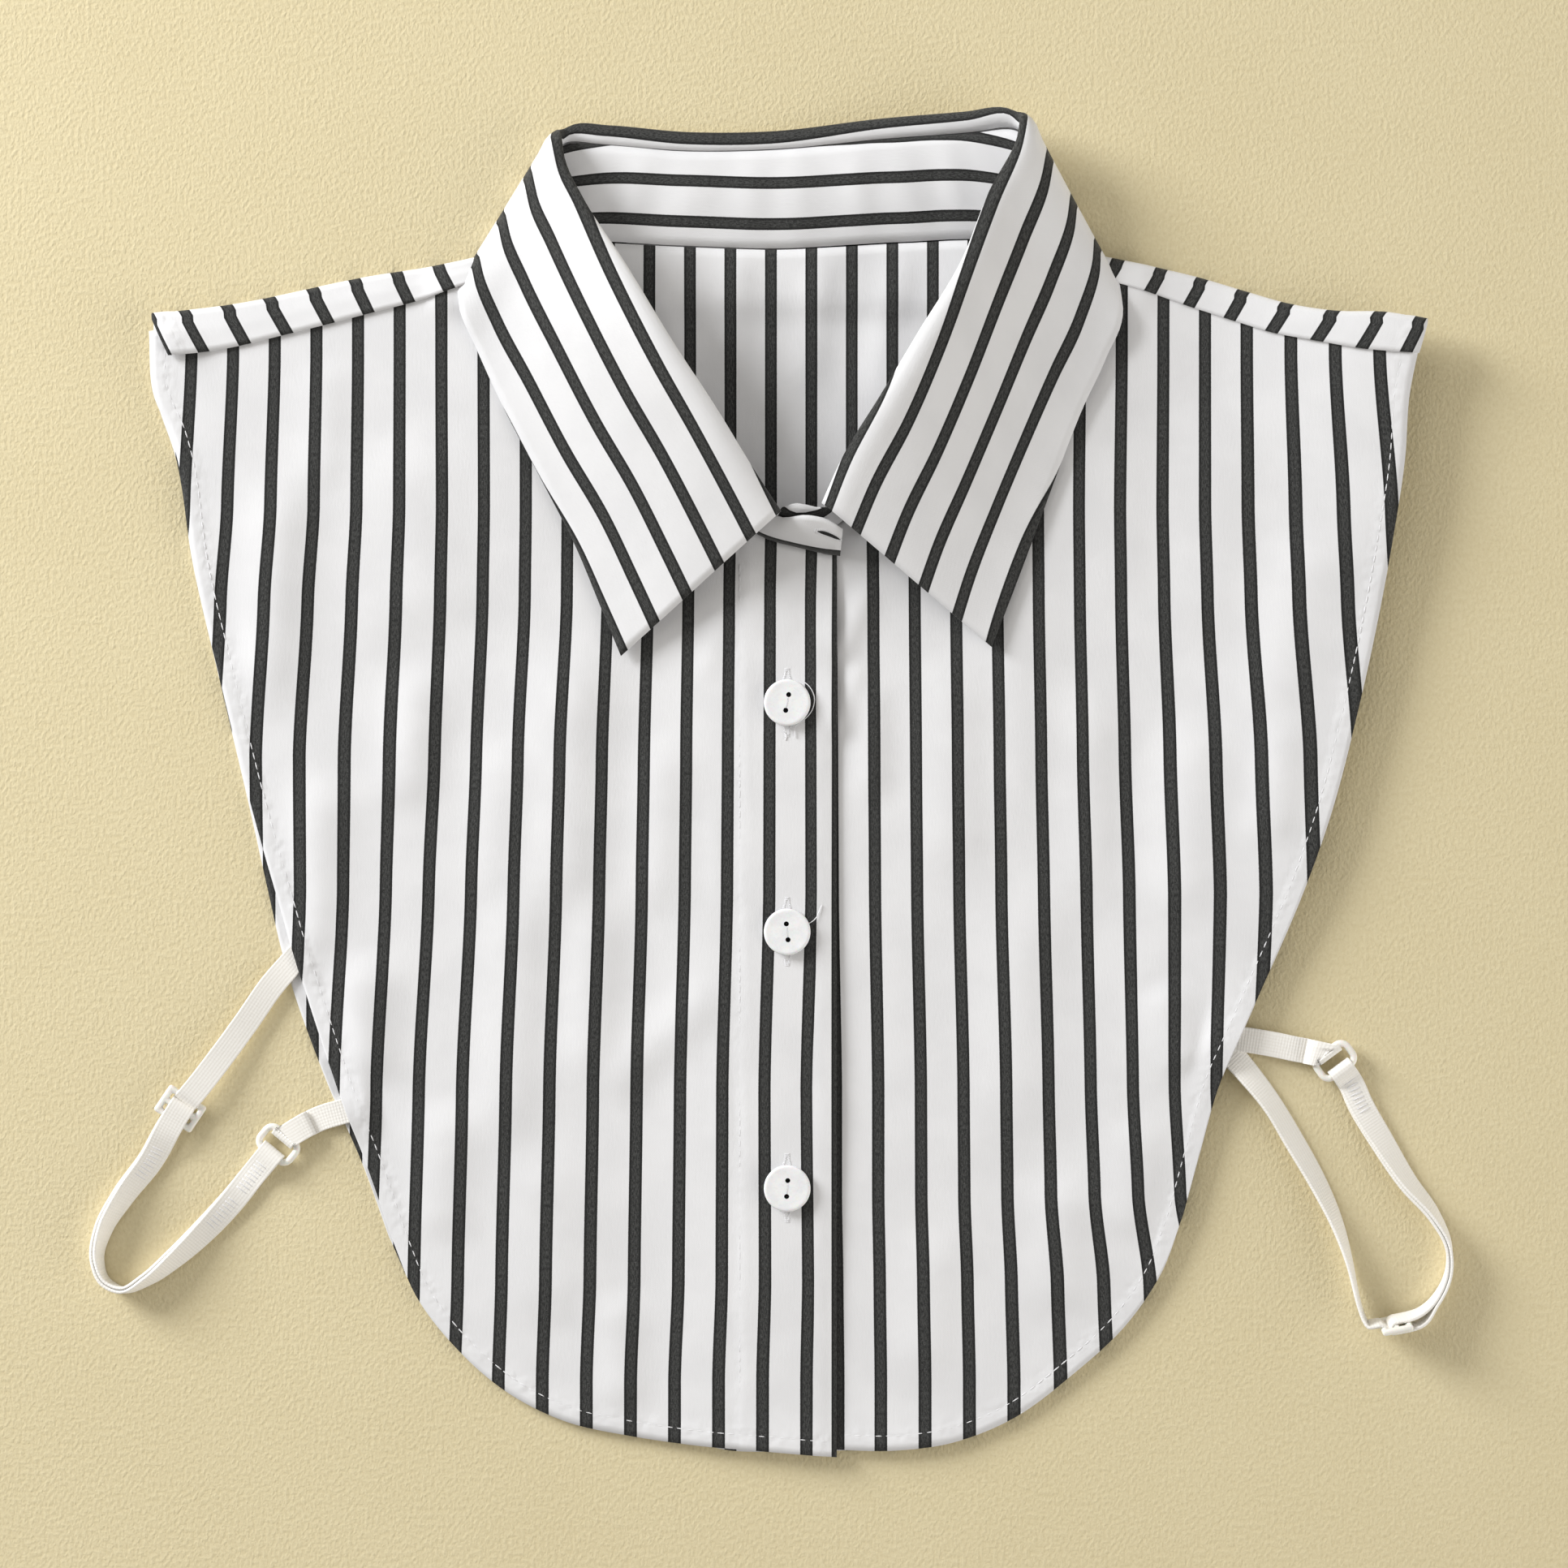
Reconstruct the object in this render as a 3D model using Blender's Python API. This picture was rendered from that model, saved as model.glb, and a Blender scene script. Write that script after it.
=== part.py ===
"""Detachable shirt collar, laid flat on its back.

A half shirt to wear under a sweater: a half back whose shoulders fold over to
the front, two fronts with a buttoned placket, a stand with a buttonhole tab, a
turned-down collar, and elastic straps with a ring and a slider at each side.

The tables are in millimetres and the meshes in metres. X runs to the right,
+Y towards the back of the neck, +Z up. The floor is z = 0 and the origin is
the middle of the outline on the floor. Cloth heights are those of the middle
of the wall.
"""
import math

import bmesh
import bpy
from mathutils import Vector

MM = 0.001

# ---------------------------------------------------------------- sizes (mm)
WALL = 1.0                       # cloth and elastic
SEAM_GAP = 0.3                   # between two pieces at a seam
LAYER = WALL + SEAM_GAP          # one layer lying on another, middle to middle
FLOOR_MIDDLE = WALL / 2          # middle of a wall that lies on the floor

SHOULDER_ROLL = 1.8              # radius of the fold along each shoulder
PLACKET_LEFT = -9.0              # hidden edge of the underlap
PLACKET_RIGHT = 18.6             # folded edge of the placket
NECK_END_LEFT, NECK_END_RIGHT = 64.4, 75.4   # where the fronts end at the neck
PLACKET_STEP = 9.0               # width over which the front climbs onto the underlap
PLACKET_CLIMB = PLACKET_LEFT - PLACKET_STEP - 5.0   # where that climb starts
BUTTON_X = 4.6
BUTTON_YS = (22.8, -41.9, -114.3)
BUTTON_RADIUS = 6.9
BUTTON_THICK = 2.2
BUTTON_SIDES, HOLE_SIDES = 24, 10
HOLE_RADIUS, HOLE_OFFSET = 0.8, 2.25

STRAP_WIDTH = 7.6
RING_HALF_BAR, RING_HALF_LENGTH, RING_CORNER = 5.4, 4.4, 2.2
RING_WIRE, RING_CORNER_STEPS = 0.9, 4
SLIDER_HALF_BAR, SLIDER_HALF_LENGTH, SLIDER_RIM = 6.0, 5.2, 1.5
SLIDER_THICK = 1.4
BAR_TURN = RING_WIRE + SEAM_GAP + WALL / 2 + 0.2   # elastic round a ring's bar
SLIDER_SPREAD = SLIDER_THICK / 2 + SEAM_GAP + WALL / 2 + 0.1
LAID_SPREAD = 0.75               # half way between two layers of elastic

# Outlines, from the shoulder down the armhole to the hem corner.
ARMHOLE_LEFT = [(-175.2, 121.0), (-174.0, 109.0), (-168.5, 92.0), (-163.5, 63.0),
                (-155.5, 28.0), (-146.6, -8.0), (-139.5, -33.0), (-134.3, -50.5),
                (-122.7, -86.0), (-114.0, -109.0), (-107.5, -128.0)]
ARMHOLE_RIGHT = [(182.0, 122.0), (179.4, 109.0), (178.3, 92.0), (175.2, 70.0),
                 (165.2, 19.5), (158.1, -8.0), (151.0, -28.6), (136.3, -63.1),
                 (127.1, -83.7), (121.2, -104.4), (116.6, -121.6)]
BACK_ARMHOLE_LEFT = [(-174.8, 131.0), (-174.3, 111.0), (-168.8, 92.0), (-163.8, 63.0),
                     (-155.8, 28.0), (-147.4, -8.0), (-142.3, -31.0), (-138.4, -48.0),
                     (-126.0, -84.0), (-115.2, -109.0), (-108.2, -128.4)]
BACK_ARMHOLE_RIGHT = [(184.6, 130.0), (179.2, 109.0), (178.0, 92.0), (174.9, 70.0),
                      (164.9, 19.5), (157.8, -8.0), (150.7, -28.6), (136.0, -63.1),
                      (126.8, -83.7), (120.9, -104.4), (116.3, -121.6)]
# Hems, from the left corner to the right one.
HEM_LEFT = [(-107.5, -128.0), (-100.0, -145.7), (-89.4, -159.4), (-73.2, -173.2),
            (-58.5, -180.4), (-40.0, -184.6), (-21.3, -187.2), (0.0, -188.9),
            (PLACKET_RIGHT, -190.4)]
HEM_RIGHT = [(PLACKET_LEFT, -187.4), (18.0, -188.4), (34.4, -188.7), (51.6, -186.4),
             (66.8, -180.6), (86.1, -166.6), (101.0, -152.5), (110.2, -138.8),
             (116.6, -121.6)]
BACK_HEM = [(-108.2, -128.4), (-100.6, -146.0), (-89.8, -159.9), (-73.4, -173.8),
            (-40.0, -185.6), (0.0, -189.7), (34.4, -188.4), (51.4, -185.8),
            (66.5, -180.1), (85.8, -166.2), (100.6, -152.3), (109.8, -138.6),
            (116.3, -121.6)]
# Shoulder folds and the forward seams, from the armhole to the neck.
FOLD_LEFT = [(-174.8, 132.4), (-153.7, 134.9), (-114.5, 143.0), (-88.3, 147.3),
             (-77.7, 149.8)]
FOLD_RIGHT = [(184.6, 131.3), (143.6, 137.0), (121.9, 142.6), (98.2, 147.8),
              (87.9, 149.8)]
SEAM_LEFT = [(-175.2, 121.0), (-88.3, 140.5), (-74.6, 144.3)]
SEAM_RIGHT = [(182.0, 122.0), (98.2, 140.0), (84.8, 144.3)]

# Cells along a shoulder, and rows of the panels as shares of their length.
SHOULDER_CELLS = 8
BACK_ROWS = [0, 0.016, 0.033, 0.05, 0.075, 0.11, 0.16, 0.22, 0.29, 0.37, 0.45,
             0.53, 0.61, 0.69, 0.77, 0.85, 0.93, 1.0]
FRONT_ROWS = [0, 0.03, 0.07, 0.12, 0.18, 0.25, 0.32, 0.39, 0.46, 0.53, 0.60,
              0.67, 0.74, 0.81, 0.87, 0.93, 0.97, 1.0]

# Lift of the cloth off the floor at the armhole edges: y, left, right.
EDGE_LIFT = [(140.0, 1.6, 7.0), (95.0, 0.8, 6.2), (40.0, 0.3, 5.2), (-10.0, 0.0, 4.6),
             (-60.0, 0.0, 2.6), (-110.0, 0.0, 1.6), (-150.0, 0.0, 0.4), (-200.0, 0.0, 0.0)]
EDGE_LIFT_REACH = 62.0
# The turned-down collar passes below the back of the neck here.
TUCK_LEFT, TUCK_RIGHT, TUCK_FRONT = -91.0, 104.0, 137.5
TUCK_RISE, TUCK_RAMP = 1.7, 8.0

# Air between back and fronts under the shoulder folds, fading down the front.
SHOULDER_AIR = 2 * SHOULDER_ROLL - LAYER
SHOULDER_AIR_FROM, SHOULDER_AIR_TO = 20.0, 125.0

# Soft folds of the fronts: start x, y, end x, y, half width, height.
FRONT_FOLDS = [
    (-141.0, 112.0, -134.0, 66.0, 12.0, 1.3),
    (-104.0, 96.0, -96.0, 30.0, 15.0, 0.9),
    (-58.0, 18.0, -72.0, -84.0, 20.0, 1.1),
    (-78.0, -98.0, -62.0, -152.0, 17.0, 0.9),
    (126.0, 106.0, 121.0, 40.0, 15.0, 1.4),
    (152.0, 70.0, 138.0, -14.0, 15.0, 1.5),
    (74.0, -2.0, 64.0, -96.0, 22.0, 1.1),
    (92.0, -92.0, 74.0, -150.0, 15.0, 0.9),
]

# The collar, section by section round the neck. turn is 1 where the leaf lies
# over the stand, -1 where it is tucked below it, and 0 on the diagonal folds.
# roll: crest of the fold. edge: outer edge of the leaf, with its clearance
# above what it lies on. neck: seam to the panels. in, down: from the roll to
# the seam between stand and fall.
COLLAR = [
    # turn, roll x, y, z, edge x, y, clear, neck x, y, in, down
    (1, 2.6, 75.9, 15.0, -42.3, 36.0, 2.6, -3.4, 70.2, 1.0, 3.8),
    (1, -4.5, 86.6, 17.5, -47.6, 48.8, 2.2, -16.0, 79.2, 1.6, 4.4),
    (1, -15.7, 104.7, 21.0, -55.4, 67.6, 1.9, -30.9, 95.2, 2.0, 5.0),
    (1, -27.0, 121.8, 23.0, -64.6, 85.5, 1.7, -46.3, 114.1, 2.2, 5.6),
    (1, -41.0, 144.9, 21.5, -75.0, 105.3, 1.7, -63.8, 133.1, 2.4, 6.0),
    (1, -53.1, 164.0, 16.0, -82.7, 121.9, 1.7, -72.5, 143.4, 2.6, 5.6),
    (1, -58.2, 175.2, 12.0, -87.3, 140.3, 1.9, -76.3, 148.2, 4.6, 3.0),
    (0, -60.8, 184.4, 7.2, -87.6, 150.4, 0.0, -77.9, 150.0, 5.4, 1.4),
    (-1, -55.5, 185.8, 3.6, -81.0, 145.4, 0.0, -72.6, 151.6, 5.8, 0.1),
    (-1, -46.0, 185.6, 3.0, -66.5, 141.6, 0.0, -57.3, 152.8, 5.6, -0.2),
    (-1, -22.9, 183.7, 2.7, -29.8, 140.7, 0.0, -27.5, 151.9, 5.0, -0.2),
    (-1, 0.0, 183.9, 2.9, 0.0, 140.2, 0.0, 0.0, 151.0, 4.8, -0.2),
    (-1, 31.4, 187.2, 5.0, 39.0, 140.5, 0.0, 36.7, 152.8, 5.4, 0.3),
    (-1, 54.8, 188.6, 8.6, 73.4, 141.0, 0.0, 64.3, 153.4, 5.6, 0.9),
    (-1, 66.1, 189.2, 11.4, 90.6, 144.8, 0.0, 82.4, 151.4, 5.8, 1.4),
    (0, 71.6, 188.0, 14.6, 97.6, 151.0, 0.0, 88.1, 150.0, 5.4, 1.6),
    (1, 69.2, 180.4, 18.0, 99.3, 138.2, 2.6, 86.5, 148.2, 4.4, 4.0),
    (1, 61.1, 164.5, 21.5, 95.4, 120.4, 2.6, 82.6, 143.4, 3.2, 6.0),
    (1, 53.3, 145.0, 24.0, 87.6, 105.2, 2.2, 73.9, 133.1, 2.6, 6.2),
    (1, 41.8, 125.9, 24.5, 80.1, 85.8, 1.9, 56.5, 114.1, 2.2, 5.8),
    (1, 30.8, 107.7, 22.0, 72.9, 66.2, 1.9, 41.1, 95.2, 2.0, 5.0),
    (1, 20.5, 91.1, 18.0, 66.5, 49.3, 2.2, 26.2, 79.2, 1.6, 4.4),
    (1, 14.6, 78.3, 15.0, 62.3, 38.5, 2.8, 13.6, 70.2, 1.0, 3.8),
]
# Front ends of the stand, past the leaf: neck x, y, top x, y, z above the neck.
TAB_END = [(8.1, 66.6, 10.6, 74.9, 9.4), (15.2, 64.9, 16.4, 73.6, 8.8),
           (19.6, 64.4, 20.2, 71.4, 7.4)]
UNDERTAB_END = [(6.8, 68.6, 7.4, 78.4, 10.2), (-2.2, 72.0, 3.4, 77.6, 7.7)]
# Leaf between roll (0) and edge (1): share of the way, height over the stand,
# height where it is tucked below.
LEAF_LEVELS = [(0.16, 0.86, 0.59), (0.36, 0.61, 0.26), (0.62, 0.30, 0.05),
               (0.86, 0.07, 0.0), (1.0, 0.0, 0.0)]
ROLL_REACH, ROLL_CREST, HOOK_REACH = 2.4, 1.1, 1.0
CORNER_WIDTH, CORNER_GAP = 2.6, 0.7   # across the diagonal folds, and at their seams
STAND_SET, PANEL_SET = 0.9, 0.4  # walls end this far from the neck seam
STAND_LEVELS = (0.0, 0.34, 0.68, 1.0)
STAND_BULGE = 1.0
LEFT_FOLD, RIGHT_FOLD = 7, 15    # rows of the diagonal folds
COLLAR_STEP = 11.0

# Elastic straps from the armhole to the ring: x, y, twist in degrees, lift off
# the floor, and how far the strap lies from this line towards its face. The
# returning layer lies as far on the other side, from the slider on.
STRAP_LEFT = [(-138.0, -51.4, 0, 1.7, 0.0), (-143.0, -56.2, 0, 1.0, 0.0),
              (-150.0, -63.4, 0, 0.1, 0.0), (-157.0, -72.6, -2, 0.0, 0.0),
              (-165.0, -85.4, -7, 0.0, SLIDER_SPREAD),
              (-168.4, -91.3, -8, 0.0, SLIDER_SPREAD),
              (-171.8, -97.2, -9, 0.0, SLIDER_SPREAD),
              (-177.2, -106.4, -24, 0.0, LAID_SPREAD),
              (-184.5, -116.8, -45, 0.0, LAID_SPREAD),
              (-189.9, -126.0, -64, 0.0, LAID_SPREAD),
              (-191.5, -134.6, -80, 0.0, LAID_SPREAD),
              (-189.0, -140.8, -88, 0.0, LAID_SPREAD),
              (-183.6, -143.2, -95, 0.0, LAID_SPREAD),
              (-176.6, -140.6, -110, 0.0, LAID_SPREAD),
              (-169.4, -135.4, -130, 0.0, LAID_SPREAD),
              (-161.4, -128.0, -150, 0.0, LAID_SPREAD),
              (-154.0, -118.8, -167, 0.0, LAID_SPREAD),
              (-148.2, -110.6, -178, 0.0, LAID_SPREAD),
              (-142.4, -104.2, -180, 0.0, BAR_TURN)]
TAB_LEFT = [(-123.6, -92.0), (-129.6, -93.9), (-133.4, -96.0)]
STRAP_RIGHT = [(133.0, -82.2, 0, 2.0, 0.0), (139.2, -90.0, 0, 1.2, 0.0),
               (147.2, -101.2, -10, 0.2, 0.0), (155.3, -113.9, -35, 0.0, 0.0),
               (160.6, -126.5, -58, 0.0, 0.0), (163.8, -138.0, -74, 0.6, 0.0),
               (165.8, -147.6, -79, 1.8, 0.3), (168.2, -154.0, -80, 2.3, SLIDER_SPREAD),
               (170.2, -153.8, -80, 2.3, SLIDER_SPREAD),
               (175.4, -152.7, -80, 2.3, SLIDER_SPREAD),
               (180.6, -151.6, -80, 2.3, SLIDER_SPREAD),
               (182.0, -151.2, -81, 2.0, SLIDER_SPREAD),
               (187.2, -146.6, -88, 0.6, LAID_SPREAD), (190.6, -139.4, -95, 0.0, LAID_SPREAD),
               (190.7, -131.1, -100, 0.0, LAID_SPREAD),
               (187.5, -122.4, -112, 0.0, LAID_SPREAD),
               (181.9, -112.4, -130, 0.0, LAID_SPREAD),
               (174.8, -100.6, -150, 0.0, LAID_SPREAD),
               (169.0, -90.2, -168, 0.3, LAID_SPREAD),
               (166.4, -84.2, -178, 0.6, LAID_SPREAD),
               (163.4, -80.6, -180, 0.8, BAR_TURN)]
TAB_RIGHT = [(134.2, -72.6), (145.4, -72.0), (151.8, -72.6)]
SLIDER_LEFT, SLIDER_RIGHT = (-168.4, -91.3), (175.4, -152.7)
TAB_LEFT_RISE, TAB_RIGHT_RISE = 0.0, 1.4     # tabs at the armhole edge
STRAP_STEP, STRAP_CLEAR = 3.4, 0.08
TAB_CELLS, TAB_SPREADING = 6, 9.0

# Colours: linear RGB and roughness.
COLOURS = {
    "cotton_striped": ((0.62, 0.63, 0.65), 0.85),
    "button_plastic": ((0.86, 0.86, 0.84), 0.25),
    "elastic_white": ((0.80, 0.79, 0.76), 0.80),
    "hardware_plastic": ((0.84, 0.81, 0.74), 0.30),
}


# ------------------------------------------------------------------- curves
def smoothstep(value):
    """Return an S-shaped ramp from 0 to 1."""
    value = min(1.0, max(0.0, value))
    return value * value * (3 - 2 * value)


def knots_of(points):
    """Return the running distance along a row of points."""
    knots = [0.0]
    for before, after in zip(points, points[1:]):
        knots.append(knots[-1] + max((after - before).length, 1e-6))
    return knots


def slopes_of(points, knots):
    """Return the direction of the smooth curve at each of its points."""
    spans = [(points[i + 1] - points[i]) / (knots[i + 1] - knots[i])
             for i in range(len(points) - 1)]
    slopes = [spans[0]]
    for i in range(1, len(points) - 1):
        before, after = knots[i] - knots[i - 1], knots[i + 1] - knots[i]
        slopes.append((spans[i - 1] * after + spans[i] * before) / (before + after))
    slopes.append(spans[-1])
    return slopes


def curve_point(points, knots, slopes, place):
    """Return the point of a smooth curve at a place given in its knots."""
    last = len(points) - 2
    span = max(i for i in range(last + 1) if i == 0 or knots[i] <= place)
    width = knots[span + 1] - knots[span]
    t = min(1.0, max(0.0, (place - knots[span]) / width))
    return (points[span] * (2 * t ** 3 - 3 * t ** 2 + 1)
            + points[span + 1] * (3 * t ** 2 - 2 * t ** 3)
            + slopes[span] * (width * (t ** 3 - 2 * t ** 2 + t))
            + slopes[span + 1] * (width * (t ** 3 - t ** 2)))


def smooth_row(points, shares):
    """Return points at the given shares of the length of a smooth curve."""
    points = [Vector(p) for p in points]
    knots = knots_of(points)
    slopes = slopes_of(points, knots)
    return [curve_point(points, knots, slopes, share * knots[-1]) for share in shares]


def even(count):
    """Return count + 1 shares from 0 to 1."""
    return [i / count for i in range(count + 1)]


def table_value(rows, column, place):
    """Read a table whose first column falls from row to row."""
    for above, below in zip(rows, rows[1:]):
        if place >= below[0]:
            share = min(1.0, max(0.0, (above[0] - place) / (above[0] - below[0])))
            return above[column] + (below[column] - above[column]) * smoothstep(share)
    return rows[-1][column]


def outline_x(outline, y):
    """Return where an armhole outline lies at a height y."""
    for above, below in zip(outline, outline[1:]):
        if y >= below[1]:
            share = min(1.0, max(0.0, (above[1] - y) / (above[1] - below[1])))
            return above[0] + (below[0] - above[0]) * share
    return outline[-1][0]


# ------------------------------------------------------------------ heights
def lift(x, y):
    """Return how far the cloth stands off the floor near its armholes."""
    from_left = x - outline_x(ARMHOLE_LEFT, y)
    from_right = outline_x(ARMHOLE_RIGHT, y) - x
    left = table_value(EDGE_LIFT, 1, y) * smoothstep(1 - from_left / EDGE_LIFT_REACH)
    right = table_value(EDGE_LIFT, 2, y) * smoothstep(1 - from_right / EDGE_LIFT_REACH)
    return left + right


def tuck(x, y):
    """Return the rise of the back over the leaf of the collar below it."""
    across = min((x - TUCK_LEFT) / TUCK_RAMP + 1, (TUCK_RIGHT - x) / TUCK_RAMP + 1)
    along = (y - TUCK_FRONT) / TUCK_RAMP + 1
    return TUCK_RISE * smoothstep(across) * smoothstep(along)


def back_height(x, y):
    """Return the height of the back panel."""
    return FLOOR_MIDDLE + lift(x, y) + tuck(x, y)


def fold_height(x, y):
    """Return the height that the soft folds add to the fronts."""
    total = 0.0
    for x0, y0, x1, y1, half_width, height in FRONT_FOLDS:
        run = Vector((x1 - x0, y1 - y0))
        share = (Vector((x - x0, y - y0)) @ run) / run.length_squared
        foot = Vector((x0, y0)) + run * share
        across = (Vector((x, y)) - foot).length / half_width
        along = max(0.0, abs(share - 0.5) - 0.28) / 0.34
        total += height * math.exp(-across * across) * (1 - smoothstep(along))
    return total


def front_height(x, y, layers=1):
    """Return the height of a front that lies on so many layers."""
    air = smoothstep((y - SHOULDER_AIR_FROM) / (SHOULDER_AIR_TO - SHOULDER_AIR_FROM))
    from_edge = min(x - outline_x(ARMHOLE_LEFT, y), outline_x(ARMHOLE_RIGHT, y) - x)
    inside = smoothstep(from_edge / 22.0)
    return (back_height(x, y) + layers * LAYER + SHOULDER_AIR * air
            + fold_height(x, y) * inside)


def placket_height(x, y):
    """Return the height of the front that carries the placket."""
    over = smoothstep((x - PLACKET_CLIMB) / PLACKET_STEP)
    return front_height(x, y, 1 + over)


# -------------------------------------------------------------------- meshes
def material(name):
    """Return a material by its name, made once."""
    found = bpy.data.materials.get(name)
    if found:
        return found
    colour, rough = COLOURS[name]
    made = bpy.data.materials.new(name)
    made.use_nodes = True
    shader = made.node_tree.nodes["Principled BSDF"]
    shader.inputs["Base Color"].default_value = (*colour, 1.0)
    shader.inputs["Roughness"].default_value = rough
    shader.inputs["Metallic"].default_value = 0.0
    made.diffuse_color = (*colour, 1.0)
    return made


def finish(name, mesh_builder, finish_name):
    """Turn a bmesh into a named object with its material."""
    mesh = bpy.data.meshes.new(name)
    mesh_builder.to_mesh(mesh)
    mesh_builder.free()
    mesh.materials.append(material(finish_name))
    thing = bpy.data.objects.new(name, mesh)
    bpy.context.collection.objects.link(thing)
    mesh.shade_smooth()
    return thing


def add_grid(builder, rows):
    """Lay a grid of quads over rows of points given in millimetres."""
    across, along = len(rows[0]) - 1, len(rows) - 1
    made = bmesh.ops.create_grid(builder, x_segments=across, y_segments=along, size=1.0)
    for vertex in made["verts"]:
        i = round((vertex.co.x + 1) / 2 * across)
        j = round((vertex.co.y + 1) / 2 * along)
        vertex.co = rows[j][i] * MM


def add_wall(thing, even_offset=True):
    """Give a sheet its thickness, half to each side."""
    wall = thing.modifiers.new("wall", "SOLIDIFY")
    wall.thickness = WALL * MM
    wall.offset = 0.0
    wall.use_even_offset = even_offset
    return thing


def patch(top, bottom, left, right, shares_down):
    """Fill four edges with rows of points, from the top row down."""
    corners = [top[0], top[-1], bottom[0], bottom[-1]]
    rows = []
    for j, v in enumerate(shares_down):
        row = []
        for i in range(len(top)):
            u = i / (len(top) - 1)
            edges = (top[i] * (1 - v) + bottom[i] * v
                     + left[j] * (1 - u) + right[j] * u)
            ties = ((corners[0] * (1 - u) + corners[1] * u) * (1 - v)
                    + (corners[2] * (1 - u) + corners[3] * u) * v)
            row.append(edges - ties)
        rows.append(row)
    return rows


def raised(row, height):
    """Give a row of plan points its heights."""
    return [Vector((p.x, p.y, height(p.x, p.y))) for p in row]


def inward(points, i, side):
    """Return the level direction from a shoulder fold into the body."""
    along = points[min(i + 1, len(points) - 1)] - points[max(i - 1, 0)]
    return Vector((along.y, -along.x)).normalized() * side


# --------------------------------------------------------------------- panels
def neck_points(side):
    """Return the front neckline of one side, from the shoulder down."""
    if side == "left":
        line = neck_line(0, LEFT_FOLD - 2)[::-1]
        return line + [Vector(end[:2]) for end in TAB_END[:2]]
    return neck_line(RIGHT_FOLD + 2, len(COLLAR) - 1) + [Vector(end[:2]) for end in UNDERTAB_END]


def set_back(points, side):
    """Move a neckline back from its seam, to its left or right side."""
    moved = []
    for i, point in enumerate(points):
        along = points[min(i + 1, len(points) - 1)] - points[max(i - 1, 0)]
        moved.append(point + Vector((along.y, -along.x)).normalized() * side * PANEL_SET)
    return moved


def back_panel():
    """The half back, cut in one with the strips folded over the shoulders."""
    folds, bases = {}, {}
    for side, fold, turn in (("left", FOLD_LEFT, 1), ("right", FOLD_RIGHT, -1)):
        points = smooth_row(fold, even(SHOULDER_CELLS))
        folds[side] = points
        bases[side] = [p + inward(points, i, turn) * SHOULDER_ROLL
                       for i, p in enumerate(points)]
    neck = set_back(neck_line(LEFT_FOLD + 1, RIGHT_FOLD - 1), 1)
    top = bases["left"] + neck + bases["right"][::-1]
    bottom = smooth_row(BACK_HEM, even(len(top) - 1))
    left = smooth_row([top[0]] + BACK_ARMHOLE_LEFT[1:], BACK_ROWS)
    right = smooth_row([top[-1]] + BACK_ARMHOLE_RIGHT[1:], BACK_ROWS)
    rows = patch(top, bottom, left, right, BACK_ROWS)
    builder = bmesh.new()
    add_grid(builder, [raised(row, back_height) for row in rows][::-1])

    for side, seam, turn in (("left", SEAM_LEFT, 1), ("right", SEAM_RIGHT, -1)):
        seam_row = smooth_row(seam, even(SHOULDER_CELLS))
        strip = []
        for degrees in (-90, -50, -15, 15, 50, 90):
            angle = math.radians(degrees)
            row = []
            for i, (fold, base) in enumerate(zip(folds[side], bases[side])):
                share = 1 - math.cos(angle)
                plan = fold + (base - fold) * share
                middle = back_height(base.x, base.y) + SHOULDER_ROLL
                row.append(Vector((plan.x, plan.y, middle + SHOULDER_ROLL * math.sin(angle))))
            strip.append(row)
        strip.append([Vector((p.x, p.y, front_height(p.x, p.y))) for p in seam_row])
        add_grid(builder, strip if turn == 1 else [row[::-1] for row in strip])
    bmesh.ops.remove_doubles(builder, verts=builder.verts, dist=0.02 * MM)
    return add_wall(finish("back_panel", builder, "cotton_striped"))


def front(name, side, armhole, seam, hem, height, inner_x):
    """One front: shoulder seam, neckline, armhole, hem and centre edge."""
    seam_row = smooth_row(seam, even(SHOULDER_CELLS))
    turn = 1 if side == "left" else -1
    seam_row = [p + inward(seam_row, i, turn) * SEAM_GAP for i, p in enumerate(seam_row)]
    last = Vector((inner_x, NECK_END_LEFT if side == "left" else NECK_END_RIGHT))
    top = seam_row + set_back(neck_points(side) + [last], turn)
    outer = smooth_row([seam_row[0]] + armhole[1:], FRONT_ROWS)
    if side == "left":
        bottom = smooth_row(hem, even(len(top) - 1))
    else:
        bottom = smooth_row(hem[::-1], even(len(top) - 1))
    inner = smooth_row([top[-1], bottom[-1]], FRONT_ROWS)
    rows = patch(top, bottom, outer, inner, FRONT_ROWS)
    builder = bmesh.new()
    rows = [raised(row, height) for row in rows][::-1]
    add_grid(builder, rows if side == "left" else [row[::-1] for row in rows])
    return add_wall(finish(name, builder, "cotton_striped"))


# --------------------------------------------------------------------- collar
def seam_trim(before, seam, after):
    """Return how far two walls end from a seam, so that their corners stay apart."""
    bend = (seam - before).angle(after - seam)
    return 0.7 * SEAM_GAP + WALL / 2 * math.tan(bend / 2)


def neck_foot(row):
    """Return the point of a section's neck seam, at the height of its panel."""
    turn, nx, ny = row[0], row[7], row[8]
    low = back_height(nx, ny)
    if turn == 0:
        low += SHOULDER_ROLL
    elif turn == 1:
        low = placket_height(nx, ny) if nx < 5 else front_height(nx, ny)
    return Vector((nx, ny, low))


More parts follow.
